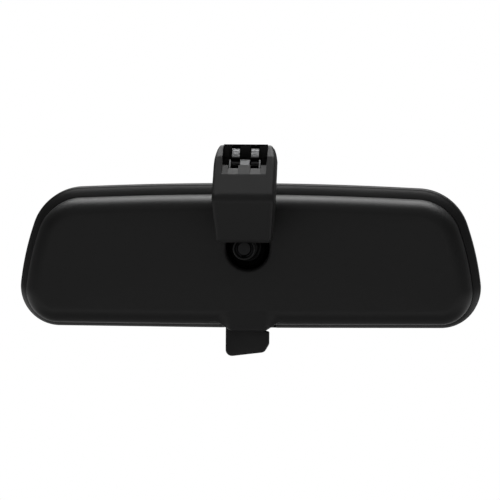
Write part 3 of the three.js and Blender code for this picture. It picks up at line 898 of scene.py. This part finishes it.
    def bezel(self) -> Surface:
        """Ring: a closed profile of (outward offset, height) drawn along the outline.

        The profile's inner back corner sits lower by the shell's drop, and the bottom has the lever's notch.

        Returns:
            The closed ring.
        """
        outline = self.outline()
        back, front = self.rim
        turn, lip = self.rim_round, front - self.lip
        inner = -self.overhang + 0.3
        profile = np.vstack([
            self.band((inner, back), (-0.55, back + self.rim_slope), 0.2),
            arc((-0.9, back + self.rim_slope + 0.9), (0.9, 0.9), -35, 0, 5),
            line((0, back + self.rim_slope + 0.9), (0, front - turn), 6)[1:-1],
            arc((-turn, front - turn), (turn, turn), 0, 90, 12),
            line((-turn, front), (-self.window + 0.7, front), 4)[1:-1],
            arc((-self.window + 0.7, front - 0.7), (0.7, 0.7), 90, 180, 5),
            [(-self.window, lip + 0.2), (-self.window + 0.2, lip), (inner, lip)],
            [(inner, self.shell_end + 0.4), (inner, self.shell_end)],
        ])
        normals = normals_of(outline)
        flat = outline[None] + profile[:, :1, None] * normals[None]
        seat = np.clip(profile[:, 0] / inner, 0, 1) * (profile[:, 1] < self.shell_end + 0.5)
        flat[..., 1] -= self.drop * seat[:, None]
        notch = back + (self.notch_y - back) * self.near_slot(outline, self.notch_half, 1.6)
        height = np.maximum(profile[:, 1:], notch[None])
        return Surface.grid(np.stack([flat[..., 0], height, flat[..., 1]], axis=-1), wrap_rows=True)

    def glass(self) -> Surface:
        """Prism: flat front with an arrised edge, and a back that slopes by the wedge angle.

        Returns:
            The closed prism.
        """
        outline = self.outline()
        edge = -self.glass_inset
        profile = np.array([(edge - 0.5, 0.0), (edge, 0.06), (edge, 0.5), (edge, 0.9), (edge - 0.6, 1.0)])
        flat = outline[None] + profile[:, :1, None] * normals_of(outline)[None]
        rise = (flat[..., 1] - self.glass_height) * math.tan(self.glass_wedge)
        back = self.glass_front - self.glass_middle - rise
        height = back + (self.glass_front - back) * profile[:, 1:]
        return Surface.grid(np.stack([flat[..., 0], height, flat[..., 1]], axis=-1), caps=True)

    def build(self, wardrobe: Wardrobe) -> None:
        """Builds and dresses the case's outer pieces.

        Args:
            wardrobe: The finishes and the way pieces are fixed to bodies.
        """
        shell = self.shell().joined(self.lobe(), self.ribs())
        wardrobe.fit(shell.placed("case_rear_shell"), Slot.GRAINED, "case", "rear_shell")
        wardrobe.fit(self.bezel().placed("case_bezel"), Slot.SATIN, "case", "bezel")
        wardrobe.fit(self.glass().placed("mirror_glass", 20), Slot.GLASS, "case", "prism_glass")


# ---- Arm -----------------------------------------------------------------------------------


@dataclass
class Arm:
    """Clip-on arm: body with its windscreen mouth, boss for the stud, and the snap-in back cover."""

    slope: float = math.radians(50)
    bend: tuple[float, float] = (-42.0, 29.3)
    brow: float = 27.0
    ridge: tuple[float, float] = (38.0, -2.34)
    half_foot: float = 14.1
    half_width: float = 16.4
    half_top: float = 11.6
    foot_z: float = 4.2
    foot_round: float = 1.6
    edge: float = 2.2
    mouth_half: float = 11.75
    mouth_depth: float = 7.0
    lip: float = 15.3
    ramp_end: float = 22.0
    ramp_depth: float = 1.0
    notch_end: float = 19.9
    notch_span: tuple[float, float] = (3.2, 8.6)
    pocket_half: float = 11.9
    pocket_depth: float = 2.3
    tilt: float = math.radians(3)

    def on_slope(self, along: float, outward: float) -> tuple[float, float]:
        """Point at a distance along the windscreen slope and outward from it, as (y, z)."""
        run, rise = math.cos(self.slope), math.sin(self.slope)
        return (self.bend[0] + along * run - outward * rise, self.bend[1] + along * rise + outward * run)

    def side(self) -> tuple[Array, Array]:
        """Front and back chains of the side outline, both sampled at the same heights, bottom to top.

        Returns:
            The front chain and the back chain, points (y, z).
        """
        corners = [
            (-34, 5, 2.9),
            (-19, 4.2, 2.8),
            (-24, 24, 14),
            (-10.4, 46, 3),
            (*self.on_slope(*self.ridge), 3),
            (*self.on_slope(self.brow, 0), 4),
            (*self.on_slope(0, 0), 5.5),
        ]
        loop = rounded(corners, step=0.3, bend=3)
        low, high = int(loop[:, 1].argmin()), int(loop[:, 1].argmax())
        turned = np.roll(loop, -low, axis=0)
        peak = (high - low) % len(loop)
        back = turned[: peak + 1]
        front = np.vstack([turned[peak:], turned[:1]])[::-1]
        t = (1 - np.cos(np.linspace(0, math.pi, 150))) / 2
        t = 0.5 * t + 0.5 * np.linspace(0, 1, 150)
        z = loop[low, 1] + t * (loop[high, 1] - loop[low, 1])
        z[:8] = loop[low, 1] + (z[8] - loop[low, 1]) * (np.arange(8) / 8) ** 2
        z[-8:] = loop[high, 1] - (loop[high, 1] - z[-9]) * (np.arange(8)[::-1] / 8) ** 2
        chains = [np.stack([np.interp(z, chain[:, 1], chain[:, 0]), z], axis=1) for chain in (front, back)]
        return chains[0], chains[1]

    def half_at(self, z: Array) -> Array:
        """Half width at a height: narrow foot, straight flanks from 26 mm and round shoulders from 45 mm.

        Args:
            z: Heights.

        Returns:
            Half width at each height.
        """
        foot = self.half_foot + (self.half_width - self.half_foot) * np.clip(z / 26, 0, 1)
        t = np.clip((22 - np.sqrt(np.maximum(484 - 38 * (z - 45), 0))) / 19, 0, 1)
        low = np.clip((z - self.foot_z) / self.foot_round, 0, 1)
        tuck = self.foot_round * (1 - np.sqrt(1 - (1 - low) ** 2))
        return foot - tuck - (self.half_width - self.half_top) * t * t * (z > 45)

    def mouth_loop(self, loop: Array, levels: int, ramp_end: float) -> Array:
        """The side loop cut down into the mouth: from the lip over the ramp and floor out through the end.

        Args:
            loop: The side loop.
            levels: Number of points on its front chain.
            ramp_end: Where the ramp below the lip ends, along the slope.

        Returns:
            The loop with the mouth cut into it.
        """
        along = (loop[:levels, 1] - self.bend[1]) / math.sin(self.slope)
        first = int(np.argmax(along >= self.lip))
        last = levels + int(np.argmax(loop[levels:, 1] <= 46.5))
        stations = [
            tuple(loop[first]),
            self.on_slope(ramp_end, -self.ramp_depth),
            self.on_slope(ramp_end + 0.2, -self.mouth_depth),
            self.on_slope(35.4, -self.mouth_depth),
            self.on_slope(35.3, -self.mouth_depth - 0.8),
            tuple(loop[last]),
        ]
        path = np.array(stations)
        length = np.concatenate([[0], np.cumsum(np.linalg.norm(np.diff(path, axis=0), axis=1))])
        where = np.linspace(0, length[-1], last - first + 1)
        cut = loop.copy()
        cut[first : last + 1] = np.stack([np.interp(where, length, path[:, k]) for k in (0, 1)], axis=1)
        return cut

    def body(self) -> Surface:
        """Body: the side loop at each station across, mixed with the mouth's and the pocket's loops.

        A station holds (across, mouth, pocket): its x, and how far its loop goes into the mouth's and the
        pocket's. The last stations round the outer edge over a quarter circle of the edge's radius.

        Returns:
            The closed body.
        """
        front, back = self.side()
        levels = len(front)
        loop = np.vstack([front, back[::-1]])
        inward = -normals_of(loop[::-1])[::-1]
        ledge = self.mouth_loop(loop, levels, self.ramp_end)
        notch = self.mouth_loop(loop, levels, self.notch_end)
        behind = np.arange(len(loop)) >= levels
        band = smooth_step(loop[:, 1], 7.2, 7.9) * (1 - smooth_step(loop[:, 1], 43.0, 43.8)) * behind
        pocket = loop + inward * (self.pocket_depth * band)[:, None]
        wall = self.mouth_half
        hole = self.pocket_half
        near, far = self.notch_span
        steps = (-0.2, -0.05, 0.05, 0.2)
        middle = [0, 1.5, *(near + step for step in steps), 4.8, 6.8, *(far + step for step in steps), 10.0]
        stations = [(x, 1.0, 1.0) for x in (*middle, wall - 0.5, wall - 0.12)]
        stations += [(wall - 0.05, 0.5, 1.0), (wall, 0.07, 1.0), (wall + 0.1, 0.02, 1.0)]
        stations += [(hole, 0.0, 1.0), (hole + 0.05, 0.0, 0.06), (hole + 0.25, 0.0, 0.0)]
        rows = []
        for across, into_mouth, into_pocket in stations:
            mouth = notch if near < across < far else ledge
            shape = loop + into_mouth * (mouth - loop) + into_pocket * (pocket - loop)
            rows.append(np.concatenate([np.full((len(loop), 1), across), shape], axis=1))
        half = self.half_at(loop[:, 1])
        radius = np.minimum(self.edge, 0.85 * (half - hole - 0.3))
        for turn in np.linspace(0, math.pi / 2, 8):
            shape = loop + inward * (radius * (1 - math.cos(turn)))[:, None]
            x = half - radius + radius * math.sin(turn)
            rows.append(np.concatenate([x[:, None], shape], axis=1))
        right = np.stack(rows)
        left = right[:0:-1] * np.array([-1.0, 1.0, 1.0])
        skin = Surface.grid(np.concatenate([left, right]))
        sides = []
        for flank in (left[0], right[-1]):
            near, far = flank[:levels], flank[levels:][::-1]
            k = np.linspace(0, 1, 9)[:, None, None]
            sides.append(Surface.grid(near[None] + k * (far - near)[None], wrap_columns=False))
        return skin.joined(*sides)

    def boss(self) -> Surface:
        """Round boss under the arm that holds the stud: a ring with a stepped bore.

        Returns:
            The closed ring, tilted as the stud is.
        """
        profile = np.array([
            (4.2, -18.4), (4.5, -18.1), (5.5, -18.1), (5.9, -18.6), (5.9, -24.0), (5.9, -30.6), (5.75, -31.0),
            (5.45, -31.2), (5.15, -31.1), (5.0, -30.8), (5.0, -27.0), (4.2, -27.0),
        ])
        return lathe(profile, 96, "y", closed=True).turned_x(-self.tilt)

    def cover(self) -> Surface:
        """Back cover: a bent strip set flush in the arm's back, with softened edges.

        Returns:
            The closed strip.
        """
        corners = [
            (-22.3, 8.1, 0.4), (-20.0, 8.1, 0.5), (-23.85, 24, 13), (-13.0, 42.3, 0.5), (-14.9, 43.2, 0.4),
            (-26.0, 24.4, 14),
        ]
        outline = rounded(corners, step=0.8, bend=10)
        return swept_edge(outline, plate_profile(-11.6, 11.6, 0.4, 3), "yz")

    def build(self, wardrobe: Wardrobe) -> None:
        """Builds and dresses the arm's moulded pieces.

        Args:
            wardrobe: The finishes and the way pieces are fixed to bodies.
        """
        body = self.body().joined(self.boss())
        wardrobe.fit(body.placed("arm_moulding"), Slot.GRAINED, "arm", "arm_body")
        wardrobe.fit(self.cover().placed("arm_cover"), Slot.SATIN, "arm", "arm_back_cover")


@dataclass
class WindscreenClip:
    """Spring clip in the arm's mouth: base sheet, two serrated leaves, middle tongue and two upright legs.

    Everything is drawn in (across, along the slope, outward from it) and then laid on the slope.
    """

    arm: Arm = field(default_factory=Arm)
    sheet: float = 0.45
    leaf: tuple[float, float] = (3.0, 7.1)
    leaf_run: tuple[float, float] = (28.0, 35.3)
    tongue_half: float = 2.55
    leg: tuple[float, float] = (7.45, 8.25)

    def laid(self, points: Array) -> Array:
        """Turns (across, along, outward) into (x, y, z) on the windscreen slope.

        Args:
            points: Points in the clip's own directions.

        Returns:
            The same points in the ball's frame.
        """
        across, along, outward = points[..., 0], points[..., 1], points[..., 2]
        y, z = self.arm.on_slope(along, outward)
        return np.stack([across, y, z], axis=-1)

    def strip(self, span: tuple[float, float], path: Array) -> Surface:
        """Sheet-metal strip: a path of (along, outward) carried across, with its thickness below it.

        Args:
            span: Where the strip starts and ends across.
            path: Points (along, outward) of its upper face.

        Returns:
            The closed strip, laid on the slope.
        """
        x = np.array([span[0], span[0] + 0.06, *np.linspace(*span, 9)[1:-1], span[1] - 0.06, span[1]])
        drop = np.full(len(x), 0.0)
        drop[[0, -1]] = 0.1
        top = np.stack([
            np.broadcast_to(x, (len(path), len(x))),
            np.broadcast_to(path[:, :1], (len(path), len(x))),
            path[:, 1:] - drop[None],
        ], axis=-1)
        under = top[:, ::-1] - np.array([0.0, 0.0, self.sheet])
        return Surface.grid(self.laid(np.concatenate([top, under], axis=1)), caps=True)

    def leaf_path(self) -> Array:
        """Bowed leaf: half a sine from the base sheet, with fine serrations along its crown.

        Returns:
            Points (along, outward).
        """
        start, end = self.leaf_run
        t = np.linspace(0, 1, 97)
        bow = -5.0 + 2.5 * np.sin(math.pi * t) ** 0.3
        teeth = 0.2 * np.sin(2 * math.pi * t * 7.0) * np.sin(math.pi * t) ** 2
        return np.stack([start + (end - start) * t, bow + teeth], axis=1)

    def tongue_path(self) -> Array:
        """Middle tongue: rises from the sheet and levels off under its window."""
        t = np.linspace(0, 1, 25)
        return np.stack([28.0 - 5.0 * t, -5.0 + 2.4 * smooth_step(t, 0.0, 0.22)], axis=1)

    def carrier(self) -> Surface:
        """Moulded carrier: rails, cross bars and middle web that leave windows over the spring.

        Returns:
            All the bars in one surface, laid on the slope.
        """
        top, base = -2.3, -4.8
        bars = [
            ((-11.7, 35.2), (11.7, 36.5)),
            ((-11.7, 27.0), (11.7, 28.2)),
            ((-11.7, 22.4), (11.7, 23.1)),
            ((-11.7, 22.4), (-8.7, 36.5)),
            ((8.7, 22.4), (11.7, 36.5)),
            ((-2.9, 27.2), (2.9, 36.4)),
            ((-8.9, 27.2), (-7.2, 36.4)),
            ((7.2, 27.2), (8.9, 36.4)),
            ((-3.0, 22.5), (-2.6, 27.4)),
            ((2.6, 22.5), (3.0, 27.4)),
        ]
        solids = [block((x0, s0, base), (x1, s1, top), 0.18) for (x0, s0), (x1, s1) in bars]
        solids += [block((x - 1.7, 26.9, -6.8), (x + 1.7, 30.1, base + 0.3), 0.3) for x in (-9.3, 9.3)]
        frame = solids[0].joined(*solids[1:])
        return Surface(self.laid(frame.points), frame.faces)

    def build(self, wardrobe: Wardrobe) -> None:
        """Builds and dresses the carrier and its spring clip.

        Args:
            wardrobe: The finishes and the way pieces are fixed to bodies.
        """
        # The clip frame wears the inner finish, whose extra darkness paints the shade inside the arm's mouth.
        wardrobe.fit(self.carrier().placed("clip_frame"), Slot.INNER, "arm", "clip_carrier")
        inner, outer = self.leaf
        path = self.leaf_path()
        base = self.strip((-7.2, 7.2), np.array([(26.0, -5.05), (30.0, -5.05), (35.4, -5.05)]))
        leaves = [self.strip(span, path) for span in ((-outer, -inner), (inner, outer))]
        tongue = self.strip((-self.tongue_half, self.tongue_half), self.tongue_path())
        near, far = self.leg
        rise = np.array([(26.6, -5.1), (26.3, -2.2), (25.9, -1.75), (21.4, -1.9), (20.6, -2.3), (20.3, -3.2)])
        legs = [self.strip(span, rise) for span in ((-far, -near), (near, far))]
        clip = base.joined(*leaves, tongue, *legs)
        wardrobe.fit(clip.placed("clip_spring", 50), Slot.SPRING, "arm", "spring_clip")


# ---- Ball joint ----------------------------------------------------------------------------


@dataclass
class BallJoint:
    """Turned ball stud and its washer, and the nylon liner round the ball; the stud's circlip is one of the
    small parts.
    """

    ball: float = 7.0
    neck: float = 3.4
    shank: float = 3.9
    tilt: float = math.radians(3)

    def stud(self) -> Surface:
        """Ball, waisted neck, shoulder and grooved shank, turned round the tilted axis.

        Returns:
            The turned stud.
        """
        start = math.degrees(math.asin(self.neck / self.ball))
        globe = arc((0, 0), (self.ball, self.ball), 90, start - 90, 40)
        rest = np.array([
            (3.32, -6.9), (3.3, -8.0), (3.32, -12.4), (3.6, -13.4), (4.4, -14.6), (5.1, -15.5), (5.4, -16.1),
            (5.4, -17.6), (5.2, -17.8), (3.9, -17.8), (3.9, -27.9), (3.0, -27.9), (3.0, -29.2), (3.9, -29.2),
            (3.85, -29.4), (3.3, -30.0), (0.0, -30.0),
        ])
        return lathe(np.vstack([globe, rest]), 72, "y").turned_x(-self.tilt)

    def liner(self) -> Surface:
        """Thin cup between two spheres, open towards the arm, with a rounded mouth.

        Returns:
            The turned cup.
        """
        inner = arc((0, 0), (7.25, 7.25), 90, 52 - 90, 26)
        outer = arc((0, 0), (8.6, 8.6), 52 - 90, 90, 26)
        middle = 7.925
        angle = math.radians(52 - 90)
        rim = [(middle * math.cos(angle) + 0.1, middle * math.sin(angle) - 0.25)]
        return lathe(np.vstack([inner, rim, outer]), 72, "y")

    def washer(self, inner: float, outer: float, start: float, thickness: float) -> Surface:
        """Flat ring with a softened edge, square to the tilted axis.

        Args:
            inner: Radius of the hole.
            outer: Outer radius.
            start: Distance of its near face from the ball's centre.
            thickness: Thickness of the ring.

        Returns:
            The closed ring.
        """
        end = start + thickness
        soft = 0.3 * thickness
        profile = np.array([
            (inner, -start - soft), (inner + soft, -start), (outer - soft, -start), (outer, -start - soft),
            (outer, -end + soft), (outer - soft, -end), (inner + soft, -end), (inner, -end + soft),
        ])
        return lathe(profile, 64, "y", closed=True).turned_x(-self.tilt)

    def build(self, wardrobe: Wardrobe) -> None:
        """Builds and dresses the joint's turned pieces.

        Args:
            wardrobe: The finishes and the way pieces are fixed to bodies.
        """
        wardrobe.fit(self.stud().placed("ball_and_stud"), Slot.BLACKENED, "stud", "ball_stud")
        washer = self.washer(4.2, 4.75, 27.3, 0.3)
        wardrobe.fit(washer.placed("washer"), Slot.BLACKENED, "stud", "stud_washer")
        wardrobe.fit(self.liner().placed("ball_liner"), Slot.NYLON, "liner", "socket_liner")


# ---- Lever ---------------------------------------------------------------------------------


@dataclass
class Lever:
    """Day and night lever: finger tab, hub, and the two arms that carry the nose bar."""

    pivot: tuple[float, float] = (1.5, -34.5)
    thickness: float = 2.6
    lean: float = math.radians(5)
    reach: float = 5.8
    nose_angle: float = math.radians(20)

    def finger(self) -> Surface:
        """Finger tab and stem: a plate with rounded edges, leaning towards the windscreen.

        Returns:
            The closed plate.
        """
        _, top = self.pivot
        corners = [
            (-12.2, top - 1, 0.6), (-12.2, -58.7, 3.4), (8.4, -56.2, 3), (11.0, -51.8, 2.0),
            (11.0, -45.2, 0.7), (8.6, -44.4, 0.8), (8.2, top - 1, 0.6),
        ]
        outline = rounded(corners, step=0.8, bend=8)
        half = self.thickness / 2
        plate = swept_edge(outline, plate_profile(self.pivot[0] - half, self.pivot[0] + half, 0.9, 5))
        return plate.turned_x(-self.lean, (0, *self.pivot))

    def hub(self) -> Surface:
        """Bored barrel on the lever's pin.

        Returns:
            The closed barrel.
        """
        profile = np.array([
            (1.5, -11.9), (1.8, -12.2), (2.5, -12.2), (2.9, -11.8),
            (2.9, 11.8), (2.5, 12.2), (1.8, 12.2), (1.5, 11.9),
        ])
        return lathe(profile, 48, "x", closed=True).moved((0, *self.pivot))

    def nose(self) -> Surface:
        """Nose bar and the two arms that hold it.

        Returns:
            The bar and the arms in one surface.
        """
        y, z = self.pivot
        tip = (y + self.reach * math.sin(self.nose_angle), z + self.reach * math.cos(self.nose_angle))
        profile = np.array([(0, -5.5), (1.1, -5.5), (1.3, -5.3), (1.3, 5.3), (1.1, 5.5), (0, 5.5)])
        bar = lathe(profile, 32, "x")
        corners = [
            (y - 1.6, z, 0.3), (y + 2.2, z - 0.8, 0.3),
            (tip[0] + 1.1, tip[1], 0.4), (tip[0] - 1.1, tip[1] + 0.4, 0.4),
        ]
        outline = rounded(corners, step=1.0, bend=25)
        arms = [swept_edge(outline, plate_profile(x, x + 2, 0.3, 3), "yz") for x in (-5.5, 3.5)]
        return bar.moved((0, *tip)).joined(*arms)

    def build(self, wardrobe: Wardrobe) -> None:
        """Builds and dresses the lever."""
        lever = self.finger().joined(self.hub(), self.nose())
        wardrobe.fit(lever.placed("finger_lever"), Slot.SATIN, "lever", "dip_lever")


# ---- Small parts carried over from the CAD ---------------------------------------------------


@dataclass
class SmallParts:
    """Screws, pins, springs, pads and brackets: the CAD's own shapes with their edges broken."""

    finishes: dict[str, tuple[Slot, float]] = field(default_factory=lambda: {
        "clip_screw_left": (Slot.PLATED, 0.15),
        "clip_screw_right": (Slot.PLATED, 0.15),
        "stud_circlip": (Slot.BLACKENED, 0.08),
        # The bracket wears the inner finish, whose extra darkness paints the shade behind the ball recess.
        "toggle_bracket": (Slot.INNER, 0.2),
        "clamp_plate": (Slot.PLATED, 0.15),
        "clamp_screw_1": (Slot.PLATED, 0.12),
        "clamp_screw_2": (Slot.PLATED, 0.12),
        "clamp_screw_3": (Slot.PLATED, 0.12),
        "dip_hinge_pin": (Slot.PLATED, 0.2),
        "lever_pin": (Slot.PLATED, 0.2),
        "detent_spring": (Slot.SPRING, 0.08),
        "detent_screw": (Slot.PLATED, 0.12),
        "backing_film": (Slot.FILM, 0.0),
        "foam_strip_left": (Slot.FOAM, 0.5),
        "foam_strip_right": (Slot.FOAM, 0.5),
        "stop_buffer_left": (Slot.RUBBER, 0.4),
        "stop_buffer_right": (Slot.RUBBER, 0.4),
    })

    def softened(self, node: bpy.types.Object, width: float) -> bpy.types.Object:
        """A copy of a CAD node, merged, with flat faces made whole and its sharp edges rounded.

        Args:
            node: The CAD node.
            width: Width of the rounding in millimetres; 0 leaves the edges as they are.

        Returns:
            The new piece.
        """
        mesh = bpy.data.meshes.new(node.name + "_fine")
        shape = bmesh.new()
        shape.from_mesh(node.data)
        bmesh.ops.remove_doubles(shape, verts=shape.verts, dist=1e-7)
        bmesh.ops.dissolve_limit(shape, angle_limit=math.radians(0.5), verts=shape.verts, edges=shape.edges)
        if width > 0:
            sharp = [edge for edge in shape.edges if edge.calc_face_angle(0.0) > math.radians(35)]
            rounding = {"segments": 2, "profile": 0.5, "affect": "EDGES", "clamp_overlap": True}
            bmesh.ops.bevel(shape, geom=sharp, offset=width * MILLIMETRE, **rounding)
        shape.to_mesh(mesh)
        shape.free()
        mesh.shade_smooth()
        mesh.set_sharp_from_angle(angle=math.radians(32))
        piece = bpy.data.objects.new(node.name + "_fine", mesh)
        bpy.context.scene.collection.objects.link(piece)
        return piece

    def build(self, wardrobe: Wardrobe, frame: dict) -> None:
        """Builds and dresses each small part on the body that carries it in the CAD.

        Args:
            wardrobe: The finishes and the way pieces are fixed to bodies.
            frame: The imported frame, with its record and its nodes.
        """
        bodies = frame["record"]["behaviour"]["bodies"]
        carriers = {name: body for body, members in bodies.items() for name in members}
        for name, (choice, width) in self.finishes.items():
            piece = self.softened(frame["nodes"][name], width)
            wardrobe.fit(piece, choice, carriers[name], name)


# ---- Studio --------------------------------------------------------------------------------


@dataclass
class Studio:
    """Pale floor, soft boxes and the camera."""

    azimuth: float = 4.6
    elevation: float = 5.0
    distance: float = 4.0
    lens: float = 542.0
    aim: tuple[float, float, float] = (0.0001, 0.0451, -0.0375)
    floor_z: float = -1.0
    floor_radius: float = 6.0
    floor_thickness: float = 0.02
    fill: float = 0.125

    def floor(self) -> None:
        """Flat pale floor disc under the mirror."""
        disc = [(0.0, 0.0), (self.floor_radius, 0.0), (self.floor_radius, -self.floor_thickness),
                (0.0, -self.floor_thickness)]
        metres = lathe(np.array(disc) / MILLIMETRE, sides=96, axis="z")
        floor = metres.moved((0.0, 0.0, self.floor_z / MILLIMETRE)).moved(-BALL_CENTRE).placed("studio_floor")
        floor.data.materials.append(StudioWhite(glow=0.9).material())

    def room(self) -> None:
        """Even light from all round; the room itself is seen as pale as the floor."""
        room = bpy.data.worlds.new("studio")
        room.use_nodes = True
        nodes, links = room.node_tree.nodes, room.node_tree.links
        soft = nodes["Background"]
        soft.inputs["Color"].default_value = (1.0, 1.0, 1.0, 1.0)
        soft.inputs["Strength"].default_value = self.fill
        seen = nodes.new("ShaderNodeBackground")
        seen.inputs["Color"].default_value = (1.0, 1.0, 1.0, 1.0)
        seen.inputs["Strength"].default_value = 1.0
        path = nodes.new("ShaderNodeLightPath")
        mix = nodes.new("ShaderNodeMixShader")
        links.new(path.outputs["Is Camera Ray"], mix.inputs[0])
        links.new(soft.outputs["Background"], mix.inputs[1])
        links.new(seen.outputs["Background"], mix.inputs[2])
        links.new(mix.outputs["Shader"], nodes["World Output"].inputs["Surface"])
        bpy.context.scene.world = room

    def soft_box(self, name: str, place: Sequence[float], size: tuple[float, float], power: float) -> None:
        """An area light that looks at the mirror.

        Args:
            name: The lamp's name.
            place: Where it stands, in metres.
            size: Its width and height, in metres.
            power: Its power in watts.
        """
        lamp = bpy.data.lights.new(name, "AREA")
        lamp.shape = "RECTANGLE"
        lamp.size, lamp.size_y = size
        lamp.energy = power
        holder = bpy.data.objects.new(name, lamp)
        holder.location = place
        holder.rotation_euler = (Vector(self.aim) - Vector(place)).to_track_quat("-Z", "Y").to_euler()
        bpy.context.scene.collection.objects.link(holder)

    def camera(self) -> None:
        """Camera on the windscreen side, a little above and to one side."""
        lens = bpy.data.cameras.new("camera")
        lens.lens = self.lens
        lens.sensor_width = 36.0
        lens.clip_start = 0.01
        holder = bpy.data.objects.new("camera", lens)
        turn, lift = math.radians(self.azimuth), math.radians(self.elevation)
        away = Vector((math.sin(turn) * math.cos(lift), -math.cos(turn) * math.cos(lift), math.sin(lift)))
        holder.location = Vector(self.aim) + away * self.distance
        rest = (-away).to_track_quat("-Z", "Y")
        holder.rotation_euler = rest.to_euler()
        bpy.context.scene.collection.objects.link(holder)
        bpy.context.scene.camera = holder

    def build(self) -> None:
        """Sets up the room, the lights and the camera."""
        bpy.context.scene.view_settings.view_transform = "Standard"
        self.room()
        self.floor()
        self.soft_box("overhead", (0.0, 0.24, 0.4), (0.55, 0.32), 3.7)
        self.soft_box("front_fill", (0.0, -0.5, 0.35), (0.8, 0.3), 0.4)
        self.camera()


def main() -> None:
    """Builds the mirror round the CAD frame and sets up the studio."""
    logging.basicConfig(level=logging.INFO, format="%(message)s")
    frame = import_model()
    wardrobe = Wardrobe()
    Case().build(wardrobe)
    Arm().build(wardrobe)
    WindscreenClip().build(wardrobe)
    BallJoint().build(wardrobe)
    Lever().build(wardrobe)
    SmallParts().build(wardrobe, frame)
    Studio().build()


if __name__ == "__main__":
    main()
